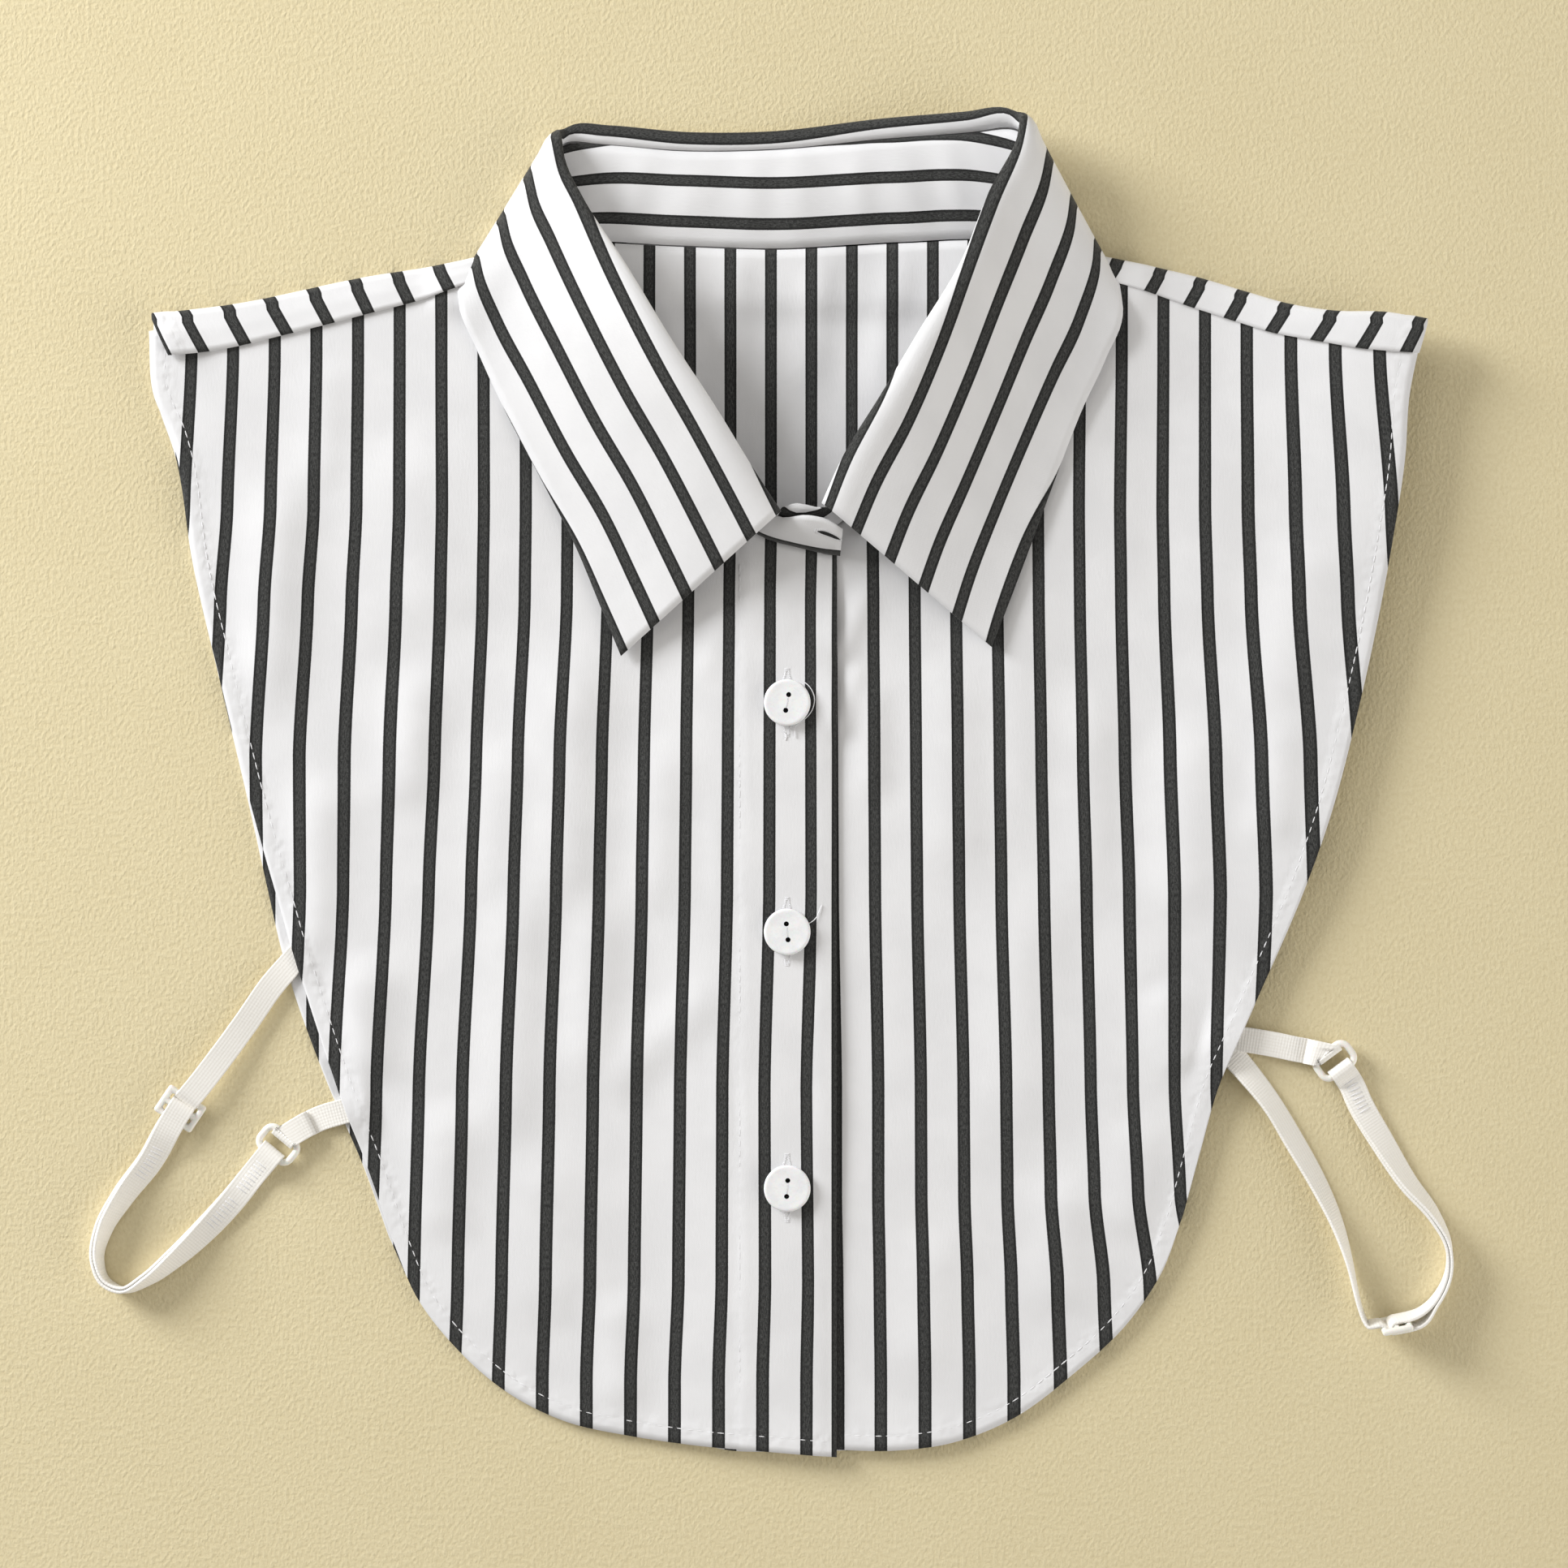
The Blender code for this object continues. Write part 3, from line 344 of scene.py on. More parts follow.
# %% Striped cotton
REPEAT = 12.0                      # mm from stripe to stripe
STRIPE_HALF = 0.147                # half a stripe, in repeats
WHITE, WHITE_SHADE = (0.80, 0.80, 0.815), (0.76, 0.76, 0.775)
CHARCOAL, STRIPE_GREY = (0.012, 0.012, 0.012), (0.060, 0.061, 0.059)
FLECK_GREY = (0.14, 0.14, 0.14)
THREAD_PITCH = 0.42                # mm between the threads of the weave
EDGE_SOFT, EDGE_SHIFT = 0.008, 0.12      # in repeats, and mm that an edge strays
CORE_FULL, CORE_END = 0.06, 0.132        # in repeats from the middle of a stripe
CORE_LIGHT, FLECK_SHARE = (0.2, 1.0), 0.7
WEAVE_RELIEF, SLUB_RELIEF = 0.012, 0.05  # mm
GROOVE_FALL, GROOVE_DEPTH = -5.0, 0.03   # per square mm, and mm
GATHER_FALL, GATHER_HEIGHT = -0.16, 0.6
PUCKERS = (("hem_line", 1.0), ("placket_line", 0.35))


def thread_wave(tree, place):
    """Return the up and down of the threads across a place in millimetres."""
    turned = maths(tree, "MULTIPLY", place, math.tau / THREAD_PITCH)
    return maths(tree, "SINE", turned)


def stitch_pucker(tree, name, along_noise, amount):
    """Return the groove and gather along a line of stitches, in millimetres."""
    distance = attribute(tree, name)
    near = maths(tree, "MULTIPLY", distance, distance)
    groove, gather = (maths(tree, "EXPONENT", maths(tree, "MULTIPLY", near, fall))
                      for fall in (GROOVE_FALL, GATHER_FALL))
    lumps = maths(tree, "MULTIPLY", maths(tree, "SUBTRACT", along_noise, 0.5), gather)
    return maths(tree, "SUBTRACT", maths(tree, "MULTIPLY", lumps, GATHER_HEIGHT * amount),
                 maths(tree, "MULTIPLY", groove, GROOVE_DEPTH * amount))


def striped_cotton():
    """Return the finish of every striped piece."""
    made, tree, shader = start_material(
        "striped cotton", WHITE, 0.86,
        {"Sheen Weight": 0.12, "Sheen Roughness": 0.45, "Specular IOR Level": 0.25})
    place, across, along = weave_place(tree, (REPEAT, REPEAT, 1.0))

    ragged = noise(tree, stretched(tree, place, (1.0, 2.6, 1.0)), 1.4)
    shift = maths(tree, "MULTIPLY", maths(tree, "SUBTRACT", ragged, 0.5), EDGE_SHIFT)
    counted = maths(tree, "DIVIDE", maths(tree, "ADD", across, shift), REPEAT)
    from_middle = maths(tree, "PINGPONG", counted, 0.5)
    stripe = soft_range(tree, from_middle, STRIPE_HALF - EDGE_SOFT, STRIPE_HALF + EDGE_SOFT,
                        1.0, 0.0)
    core = soft_range(tree, from_middle, CORE_FULL, CORE_END, 1.0, 0.0)

    heather = noise(tree, stretched(tree, place, (3.2, 0.9, 1.0)), 1.0, 3.0)
    flecks = soft_range(tree, noise(tree, place, 2.6, 3.0), 0.58, 0.74)
    heather = soft_range(tree, heather, 0.35, 0.65, *CORE_LIGHT)
    grey = mixed(tree, maths(tree, "MULTIPLY", core, heather), CHARCOAL, STRIPE_GREY)
    flecks = maths(tree, "MULTIPLY", flecks, maths(tree, "MULTIPLY", core, FLECK_SHARE))
    grey = mixed(tree, flecks, grey, FLECK_GREY)
    cloud = noise(tree, place, 0.05, 3.0)
    white = mixed(tree, soft_range(tree, cloud, 0.35, 0.65), WHITE, WHITE_SHADE)
    painted(tree, shader, stripe, white, grey)

    threads = maths(tree, "MULTIPLY", thread_wave(tree, across), thread_wave(tree, along))
    relief = maths(tree, "MULTIPLY", threads, WEAVE_RELIEF)
    slub = noise(tree, stretched(tree, place, (1.0, 0.25, 1.0)), 1.6)
    relief = maths(tree, "ADD", relief, maths(tree, "MULTIPLY", slub, SLUB_RELIEF))
    lumps = noise(tree, place, 0.30, 1.0)
    for name, amount in PUCKERS:
        relief = maths(tree, "ADD", relief, stitch_pucker(tree, name, lumps, amount))
    bumped(tree, shader, relief, 0.85)
    return made


COTTON = striped_cotton()
print("cotton has", len(COTTON.node_tree.nodes), "nodes")

# %% [markdown]
# ## Thread, buttons, elastic and plastic
#
# The sewing thread is white with a twist. The buttons are plain white plastic,
# faintly cloudy and glossy. The elastic is a ribbed ivory webbing, and the
# rings and sliders are milky plastic. The gap of a buttonhole is painted shade,
# a near-black sheet. Each has its own small relief, because a flat colour would
# read as paint.


# %% Other finishes
def sewing_thread():
    """White cotton thread with a fine twist."""
    made, tree, shader = start_material("white sewing thread", (0.74, 0.75, 0.77), 0.7,
                                        {"Sheen Weight": 0.3, "Sheen Roughness": 0.4})
    twist = noise(tree, object_place(tree), 5.0)
    painted(tree, shader, twist, (0.76, 0.76, 0.78), (0.86, 0.86, 0.88))
    bumped(tree, shader, maths(tree, "MULTIPLY", twist, 0.08))
    return made


# painted shade: the gap of a buttonhole is a near-black sheet, not an opening
def painted_slit_shade():
    """Painted shade: a near-black sheet for the shadow in a buttonhole's gap."""
    made, tree, shader = start_material("painted shade in a buttonhole slit", (0.01, 0.01, 0.01), 0.95)
    fuzz = noise(tree, object_place(tree), 3.0)
    painted(tree, shader, fuzz, (0.005, 0.005, 0.005), (0.02, 0.02, 0.02))
    bumped(tree, shader, maths(tree, "MULTIPLY", fuzz, 0.1))
    return made


def button_plastic():
    """Plain white plastic with a soft cloudy body."""
    made, tree, shader = start_material(
        "white button plastic", (0.87, 0.88, 0.89), 0.30,
        {"Coat Weight": 0.25, "Coat Roughness": 0.15, "Subsurface Weight": 0.12,
         "Subsurface Scale": 0.001})
    place = object_place(tree)
    cloud = soft_range(tree, noise(tree, place, 0.28, 3.0), 0.35, 0.65)
    painted(tree, shader, cloud, (0.84, 0.85, 0.87), (0.90, 0.91, 0.92))
    tree.links.new(soft_range(tree, noise(tree, place, 1.2, 3.0), 0.3, 0.8, 0.24, 0.40),
                   shader.inputs["Roughness"])
    bumped(tree, shader, maths(tree, "MULTIPLY", noise(tree, place, 2.0, 3.0), 0.01))
    return made


def ribbed_elastic():
    """Ivory webbing: ribs along its length with fine threads across."""
    made, tree, shader = start_material("ribbed elastic", (0.91, 0.89, 0.84), 0.8,
                                        {"Sheen Weight": 0.2, "Sheen Roughness": 0.5})
    place, *numbers = weave_place(tree)
    ribs, picks = (maths(tree, "SINE", maths(tree, "MULTIPLY", number, math.tau))
                   for number in numbers)
    mottle = noise(tree, place, 0.9, 3.0)
    tone = maths(tree, "ADD", soft_range(tree, ribs, -1.0, 0.2, 0.0, 0.6),
                 maths(tree, "MULTIPLY", mottle, 0.5))
    painted(tree, shader, tone, (0.87, 0.84, 0.785), (0.94, 0.92, 0.88))
    relief = maths(tree, "ADD", maths(tree, "MULTIPLY", picks, 0.02),
                   maths(tree, "MULTIPLY", mottle, 0.05))
    bumped(tree, shader, relief)
    return made


def milky_plastic():
    """Milky plastic of the rings and sliders."""
    made, tree, shader = start_material(
        "milky plastic", (0.85, 0.82, 0.74), 0.32,
        {"Coat Weight": 0.2, "Coat Roughness": 0.2, "Subsurface Weight": 0.15,
         "Subsurface Scale": 0.001})
    place = object_place(tree)
    painted(tree, shader, noise(tree, place, 0.5), (0.86, 0.84, 0.78), (0.93, 0.92, 0.88))
    bumped(tree, shader, maths(tree, "MULTIPLY", noise(tree, place, 1.5, 3.0), 0.03))
    return made


def table_paper():
    """The warm, faintly mottled table."""
    made, tree, shader = start_material("table paper", (0.66, 0.52, 0.29), 0.9,
                                        {"Specular IOR Level": 0.2})
    place = object_place(tree)
    mottle = noise(tree, place, 0.02, 4.0)
    grain = noise(tree, stretched(tree, place, (1.0, 0.75, 1.0)), 1.0, 8.0)
    tone = maths(tree, "ADD", maths(tree, "MULTIPLY", mottle, 0.5),
                 soft_range(tree, grain, 0.3, 0.7, 0.0, 0.5))
    painted(tree, shader, tone, (0.67, 0.575, 0.355), (0.76, 0.675, 0.45))
    bumped(tree, shader, maths(tree, "MULTIPLY", grain, 0.36))
    return made


FINISHES = [make() for make in (sewing_thread, painted_slit_shade, button_plastic, ribbed_elastic,
                                milky_plastic, table_paper)]
THREAD, SLIT_SHADE, BUTTON, ELASTIC, PLASTIC, PAPER = FINISHES
print("finishes:", [finish.name for finish in FINISHES])

# %% [markdown]
# ## The table
#
# A wide flat sheet below everything. It is stage, not part of the object.


# %% Table
TABLE_HALF, TABLE_CELLS = 2.5, 8         # metres, and faces along each side


def mesh_of(name, builder):
    """Turn a bmesh into a mesh."""
    mesh = bpy.data.meshes.new(name)
    builder.to_mesh(mesh)
    builder.free()
    return mesh


def add_table():
    """Lay the table at the height of the floor."""
    builder = bmesh.new()
    bmesh.ops.create_grid(builder, x_segments=TABLE_CELLS, y_segments=TABLE_CELLS,
                          size=TABLE_HALF)
    mesh = mesh_of("table", builder)
    mesh.materials.append(PAPER)
    table = bpy.data.objects.new("table", mesh)
    bpy.context.collection.objects.link(table)
    print("table", len(mesh.polygons), "faces")


add_table()

# %% [markdown]
# ## Outlines of the cut pieces
#
# These are the edges as they lie: armholes, hems, the folds along the
# shoulders and the seams just in front of them. The back and the front are not
# quite the same, so a sliver of the back peeps out here and there.

# %% Outlines, in millimetres
SHOULDER_ROLL = 1.8                          # radius of the fold along a shoulder
PLACKET_LEFT, PLACKET_RIGHT = -9.0, 18.6     # stitch line and folded edge
NECK_END_LEFT, NECK_END_RIGHT = 64.4, 75.4   # where the centre edges of the fronts end
ARMHOLE_LEFT = [(-174.4, 121.0), (-174.0, 109.0), (-169.4, 98.5), (-167.4, 91.0),
                (-163.5, 63.0), (-155.5, 28.0), (-146.6, -8.0), (-139.5, -33.0),
                (-134.3, -50.5), (-122.7, -86.0), (-114.0, -109.0), (-107.5, -128.0)]
ARMHOLE_RIGHT = [(182.0, 122.0), (179.4, 109.0), (178.3, 92.0), (175.2, 70.0),
                 (165.2, 19.5), (158.1, -8.0), (151.0, -28.6), (136.3, -63.1),
                 (127.1, -83.7), (121.2, -104.4), (116.6, -121.6)]
BACK_ARMHOLE_LEFT = [(-174.8, 131.0), (-174.2, 110.5), (-168.4, 92.0), (-163.8, 63.0),
                     (-155.8, 28.0), (-147.4, -8.0), (-142.3, -31.0), (-138.4, -48.0),
                     (-126.0, -84.0), (-115.2, -109.0), (-108.2, -128.4)]
BACK_SET = 0.3                               # the back ends this much inside the right front
BACK_ARMHOLE_RIGHT = ([(184.6, 130.0), (179.2, 109.0)]
                      + [(round(x - BACK_SET, 1), y) for x, y in ARMHOLE_RIGHT[2:]])
HEM_LEFT = [(-107.5, -128.0), (-100.0, -145.7), (-89.4, -159.4), (-73.2, -173.2),
            (-58.5, -180.4), (-40.0, -184.6), (-21.3, -187.2), (0.0, -188.9),
            (PLACKET_RIGHT, -190.4)]
HEM_RIGHT = [(PLACKET_LEFT, -187.4), (18.0, -188.4), (34.4, -188.7), (51.6, -186.4),
             (66.8, -180.6), (86.1, -166.6), (101.0, -152.5), (110.2, -138.8),
             (116.6, -121.6)]
BACK_HEM = [(-108.2, -128.4), (-100.0, -145.4), (-88.9, -158.8), (-72.8, -172.4),
            (-58.0, -179.5), (-40.0, -183.8), (-24.0, -186.2), (-11.0, -189.0),
            (0.0, -189.2), (14.0, -188.9), (34.4, -188.3), (51.4, -185.8),
            (66.5, -180.1), (85.8, -166.2), (100.6, -152.3), (109.8, -138.6),
            (116.3, -121.6)]
FOLD_LEFT = [(-174.8, 132.4), (-153.7, 134.9), (-114.5, 143.0), (-88.3, 147.3),
             (-77.7, 149.8)]
FOLD_RIGHT = [(184.6, 130.3), (173.3, 132.4), (159.6, 132.9), (146.1, 135.2),
              (133.9, 138.9), (121.9, 142.6), (98.2, 147.8), (87.9, 149.8)]
STRIP_END_LEFT = [(-169.8, 120.6), (-163.4, 121.2)]
SEAM_LEFT = [(-174.2, 119.6), (-163.4, 121.2), (-152.9, 122.8), (-138.7, 126.2),
             (-123.6, 130.0), (-112.6, 132.9), (-98.4, 136.6), (-88.3, 140.0),
             (-74.6, 144.3)]
SEAM_RIGHT = [(182.0, 120.8), (165.5, 122.3), (153.9, 124.5), (141.7, 127.0),
              (129.5, 130.9), (118.3, 134.6), (106.9, 138.5), (84.8, 144.3)]
print("outline marks:", sum(map(len, (ARMHOLE_LEFT, ARMHOLE_RIGHT, HEM_LEFT, HEM_RIGHT))))

# %% [markdown]
# ## How high the cloth lies
#
# Each layer lies on the one below, lifts off the table at the armholes, and
# carries soft folds. Cloth simulation could settle such layers, but it moves
# the stripes and never puts a fold where this one has it. So every fold is
# placed as a ridge between two points, with a width and a height, and the
# layers above and below share it, which keeps them clear of each other.

# %% Heights
LAYER, FLOOR_MIDDLE = 1.3, 0.5     # from one layer to the next, middle of the lowest
# y, and how far the left and the right armhole stand up there
EDGE_LIFT = [(140.0, 1.6, 7.0), (95.0, 0.8, 6.2), (40.0, 0.3, 5.2), (-10.0, 0.0, 4.6),
             (-60.0, 0.0, 2.6), (-110.0, 0.0, 1.6), (-150.0, 0.0, 0.4), (-200.0, 0.0, 0.0)]
EDGE_LIFT_REACH = 62.0
# where the back rises over the leaf tucked below it
TUCK_LEFT, TUCK_RIGHT, TUCK_FRONT = -91.0, 104.0, 137.5
TUCK_RISE, TUCK_RAMP = 1.7, 8.0
SHOULDER_AIR, SHOULDER_AIR_FROM, SHOULDER_AIR_TO = 2.3, 20.0, 125.0
PLACKET_CLIMB, PLACKET_STEP = -36.0, 25.0      # x and run of the climb onto the other front
PLACKET_RAISE, PLACKET_RAISE_RUN = 0.25, 1.2
PLACKET_EDGE_SINK, PLACKET_EDGE_FROM, PLACKET_EDGE_RUN = 0.5, 12.0, 6.6
PLACKET_LIFT_FROM, PLACKET_LIFT_RUN = 9.5, 9.0
FOLD_INSIDE = 13.0                 # mm from an armhole over which folds die out
# a fold is full over this share each way from its middle, and then fades out
FOLD_FULL, FOLD_FADE, FOLD_WIDEST = 0.28, 0.34, 3.0

# start x, y, end x, y, half width, height
FRONT_FOLDS = [
    (-138.2, 84.0, -143.4, 22.0, 8.5, 1.9),
    (-126.0, 118.0, -127.5, 84.0, 7.0, 0.9),
    (-104.0, 96.0, -96.0, 44.0, 15.0, 1.4),
    (-99.0, 32.0, -103.5, -6.0, 8.0, 1.7),
    (-127.5, 0.0, -129.0, -42.0, 7.5, 1.5),
    (-56.5, 38.0, -60.0, -38.0, 12.0, 2.4),
    (-76.0, 10.0, -79.0, -30.0, 7.0, 1.0),
    (-30.0, 12.0, -33.0, -36.0, 7.5, 1.4),
    (-114.5, -50.0, -116.0, -84.0, 9.0, 2.0),
    (-71.5, -30.0, -76.0, -104.0, 9.0, 1.5),
    (-49.4, -34.0, -52.0, -84.0, 7.0, 1.5),
    (-16.5, -59.0, -46.5, -86.5, 6.5, 1.1),
    (-92.0, -92.0, -93.0, -128.0, 9.0, 1.4),
    (-66.0, -104.0, -62.0, -152.0, 12.0, 1.4),
    (-44.0, -146.0, -41.0, -176.0, 7.0, 1.2),
    (51.5, 34.0, 51.5, -24.0, 9.0, 1.5),
    (70.0, 60.0, 71.0, -10.0, 9.0, 1.0),
    (89.5, 26.0, 91.0, -34.0, 7.5, 1.2),
    (119.5, 16.0, 115.5, -38.0, 9.5, 1.5),
    (144.5, 18.0, 141.5, -16.0, 6.5, 1.3),
    (126.0, 106.0, 121.0, 40.0, 14.0, 1.5),
    (98.0, 96.0, 99.0, 52.0, 8.0, 0.9),
    (152.0, 70.0, 143.0, 20.0, 10.0, 1.4),
    (74.0, -30.0, 66.0, -104.0, 12.0, 1.3),
    (110.5, -58.0, 117.5, -81.0, 6.5, 1.6),
    (104.0, -96.0, 101.0, -128.0, 7.5, 1.1),
    (84.0, -112.0, 80.0, -150.0, 8.5, 1.2),
    (46.0, -128.0, 44.0, -168.0, 8.0, 1.0),
]
# finer creases beside the placket, below the leaf ends and inside the neck
CREASES = [
    (19.5, 36.0, 27.5, 56.0, 4.0, 1.3),
    (18.5, 14.0, 25.0, 34.0, 3.6, 1.0),
    (28.6, 28.0, 29.0, -4.0, 4.6, 1.2),
    (-9.0, 62.0, -3.0, 42.0, 3.2, 0.5),
    (4.0, 60.0, 5.5, 42.0, 3.0, 0.4),
    (-19.0, 30.0, -13.0, 48.0, 3.4, 0.45),
    (-15.5, -6.0, -14.0, -36.0, 3.0, 0.3),
    (-14.5, -70.0, -13.5, -104.0, 3.0, 0.3),
]
# how the straps sewn below the edges push the fronts up
STRAP_BUMPS = [
    (-137.0, -52.0, -127.0, -40.0, 7.5, 1.3),
    (-126.0, -94.0, -112.0, -90.5, 7.5, 1.9),
    (138.0, -77.0, 122.0, -73.0, 10.0, 2.0),
]
BACK_CREASES = [
    (-6.0, -190.0, 58.0, -187.0, 9.0, 0.8),
    (-33.0, 149.0, -25.0, 108.0, 5.0, 1.0),
    (-9.0, 150.0, -11.0, 116.0, 4.5, 0.9),
    (15.0, 150.0, 10.0, 112.0, 5.0, 0.9),
    (38.0, 151.0, 28.0, 106.0, 5.0, 0.8),
]
# y, half length and height of the places where the placket's edge stands up
PLACKET_LIFTS = [(46.0, 9.0, 1.1), (24.0, 9.0, 1.2), (-88.0, 44.0, 0.9)]


def lift(x, y):
    """Return how far the cloth stands off the table near its armholes."""
    from_left = x - outline_x(ARMHOLE_LEFT, y)
    from_right = outline_x(ARMHOLE_RIGHT, y) - x
    left = table_value(EDGE_LIFT, 1, y) * smoothstep(1 - from_left / EDGE_LIFT_REACH)
    right = table_value(EDGE_LIFT, 2, y) * smoothstep(1 - from_right / EDGE_LIFT_REACH)
    return left + right


def tuck(x, y):
    """Return the rise of the back over the leaf of the collar below it."""
    across = min((x - TUCK_LEFT) / TUCK_RAMP + 1, (TUCK_RIGHT - x) / TUCK_RAMP + 1)
    along = (y - TUCK_FRONT) / TUCK_RAMP + 1
    return TUCK_RISE * smoothstep(across) * smoothstep(along)


def back_height(x, y):
    """Return the height of the back panel."""
    return FLOOR_MIDDLE + lift(x, y) + tuck(x, y) + ridges(x, y, BACK_CREASES)


def ridges(x, y, folds):
    """Return the height that a list of folds adds at a place."""
    total = 0.0
    for x0, y0, x1, y1, half_width, height in folds:
        run_x, run_y = x1 - x0, y1 - y0
        share = ((x - x0) * run_x + (y - y0) * run_y) / (run_x ** 2 + run_y ** 2)
        across = math.hypot(x - x0 - run_x * share, y - y0 - run_y * share) / half_width
        along = max(0.0, abs(share - 0.5) - FOLD_FULL) / FOLD_FADE
        if across < FOLD_WIDEST and along < 1.0:
            total += height * math.exp(-across * across) * (1 - smoothstep(along))
    return total


def front_height(x, y, layers=1.0):
    """Return the height of a front that lies on so many layers."""
    air = smoothstep((y - SHOULDER_AIR_FROM) / (SHOULDER_AIR_TO - SHOULDER_AIR_FROM))
    from_edge = min(x - outline_x(ARMHOLE_LEFT, y), outline_x(ARMHOLE_RIGHT, y) - x)
    inside = smoothstep(from_edge / FOLD_INSIDE)
    return (back_height(x, y) + layers * LAYER + SHOULDER_AIR * air
            + ridges(x, y, FRONT_FOLDS) * inside + ridges(x, y, CREASES)
            + ridges(x, y, STRAP_BUMPS))


def placket_height(x, y):
    """Return the height of the front that carries the placket."""
    over = smoothstep((x - PLACKET_CLIMB) / PLACKET_STEP)
    band = PLACKET_RAISE * smoothstep((x - PLACKET_LEFT) / PLACKET_RAISE_RUN)
    raised = sum(height * math.exp(-((y - middle) / half) ** 2)
                 for middle, half, height in PLACKET_LIFTS)
    raised *= smoothstep((x - PLACKET_LIFT_FROM) / PLACKET_LIFT_RUN)
    sunk = PLACKET_EDGE_SINK * smoothstep((x - PLACKET_EDGE_FROM) / PLACKET_EDGE_RUN)
    return front_height(x, y, 1 + over) + band - sunk + raised


def laid(x, y, height, up=0.0):
    """Return a place on cloth of a given height, or above it."""
    return Vector((x, y, height(x, y) + up))


print("collar end of the placket lies", round(placket_height(5.0, 60.0), 2), "mm up")

# %% [markdown]
# ## Where the stripes run
#
# The stripes were woven straight, but the cloth was pulled a little as it was
# sewn and pressed, so on each front they fan and sway. A few marks per row say
# where every third stripe crosses, as seen from above. A stripe number is then
# read between the marks. Because the camera stands near, a mark is the place
# where the line of sight meets the table.

# %% Stripe guides
LEFT_NUMBERS = [1, 4, 7, 10, 13, 16]
LEFT_STRIPES = [(120.8, -164.2, -128.8, -93.4, -57.5, -22.5, 12.4),
                (78.0, -166.3, -129.6, -93.2, -57.6, -23.1, 11.7),
                (51.8, -168.3, -131.3, -93.7, -57.8, -23.4, 11.3),
                (8.0, -170.6, -133.7, -95.3, -59.9, -24.0, 11.4),
                (-31.0, -169.7, -133.4, -97.0, -60.9, -24.4, 11.5),
                (-86.2, -172.5, -135.9, -99.8, -62.8, -25.7, 10.1),
                (-141.4, -174.8, -138.2, -101.2, -63.9, -26.2, 10.6),
                (-169.0, -175.7, -139.1, -102.1, -64.8, -27.3, 10.1)]
RIGHT_NUMBERS = [1, 4, 7, 10, 13]
RIGHT_STRIPES = [(120.8, 28.5, 64.0, 99.4, 134.8, 172.5),
                 (78.0, 28.8, 64.1, 98.9, 135.1, 175.9),
                 (51.8, 29.0, 64.2, 99.2, 136.0, 177.2),
                 (8.0, 29.3, 64.8, 100.2, 139.0, 180.6),
                 (-31.0, 29.5, 65.3, 101.5, 140.3, 181.3),
                 (-86.2, 30.4, 66.7, 102.6, 138.0, 178.0),
                 (-117.0, 30.4, 67.0, 104.1, 139.8, 180.0),
                 (-141.4, 30.8, 68.1, 107.4, 147.2, 186.0),
                 (-169.0, 31.1, 68.8, 108.6, 149.5, 191.0)]
HEM_WHITE = 0.2                    # no stripe shows on the turned hem past the last one
# the last stripe turns round the placket's edge: mm after it, x, and the numbers there
TURN_AFTER, TURN_X, TURN_NUMBERS = 2.4, 16.6, [16.2, 16.8, 17.0]
UNDERLAP_STRIPES = 4               # below the placket, before the first mark
BACK_PLACES = [-166.7, -80.6, -68.7, 68.7, 80.6, 166.7]
BACK_NUMBERS = [-14, -7, -6, 6, 7, 14]


def seen(place):
    """Return where the line of sight through a place meets the table."""
    stretch = CAMERA.z / (CAMERA.z - place.z)
    return (CAMERA.x + (place.x - CAMERA.x) * stretch,
            CAMERA.y + (place.y - CAMERA.y) * stretch)


def guide_row(guides, y):
    """Return where the marked stripes cross at a height y."""
    y = min(guides[0][0], max(guides[-1][0], y))
    above, below = next((first, second) for first, second in zip(guides, guides[1:])
                        if first[0] >= y >= second[0])
    share = (above[0] - y) / (above[0] - below[0])
    return [a + (b - a) * smoothstep(share) * 0.5 + (b - a) * share * 0.5
            for a, b in zip(above[1:], below[1:])]


def left_number(place):
    """Return the stripe number of a place on the left front."""
    x, y = seen(place)
    marks = guide_row(LEFT_STRIPES, y)
    return max(HEM_WHITE, read_line(marks + [marks[-1] + TURN_AFTER, TURN_X, PLACKET_RIGHT],
                                    LEFT_NUMBERS + TURN_NUMBERS, x))


def right_number(place):
    """Return the stripe number of a place on the right front."""
    x, y = seen(place)
    marks = guide_row(RIGHT_STRIPES, y)
    number = read_line([marks[0] - UNDERLAP_STRIPES * REPEAT] + marks,
                       [RIGHT_NUMBERS[0] - UNDERLAP_STRIPES] + RIGHT_NUMBERS, x)
    return min(RIGHT_NUMBERS[-1] + 1 - HEM_WHITE, number)


def back_number(place):
    """Return the stripe number of a place on the back."""
    return read_line(BACK_PLACES, BACK_NUMBERS, place.x)


print("stripe 7 of the left front crosses at", round(guide_row(LEFT_STRIPES, 0.0)[2], 1), "mm")

# %% [markdown]
# ## Laying cloth
#
# Every piece of cloth is a grid of places with marks on it: its stripe number,
# the length along the stripe, and how far it is from its hem. A grid operator
# makes the faces, and each vertex then moves to its place. Solidify gives the
# thickness, more at the hems, where the edge is turned twice.

# %% Cloth helpers
THIN, THICK = 0.5, 1.0
HALF_WALL = THICK / 2
HEM_WIDTH, HEM_FADE = 4.2, 0.9
MERGE = 0.02                        # mm within which corners of cloth become one
FAR = 9.0                           # mm, "nowhere near a stitch line"
PLAIN = (FAR, FAR, 0.8)             # the last three marks of cloth with one thickness


def new_cloth():
    """Start a mesh with the layers that cloth needs."""
    builder = bmesh.new()
    builder.loops.layers.uv.new("weave")
    builder.verts.layers.float.new("hem_line")
    builder.verts.layers.float.new("placket_line")
    builder.verts.layers.deform.verify()
    return builder


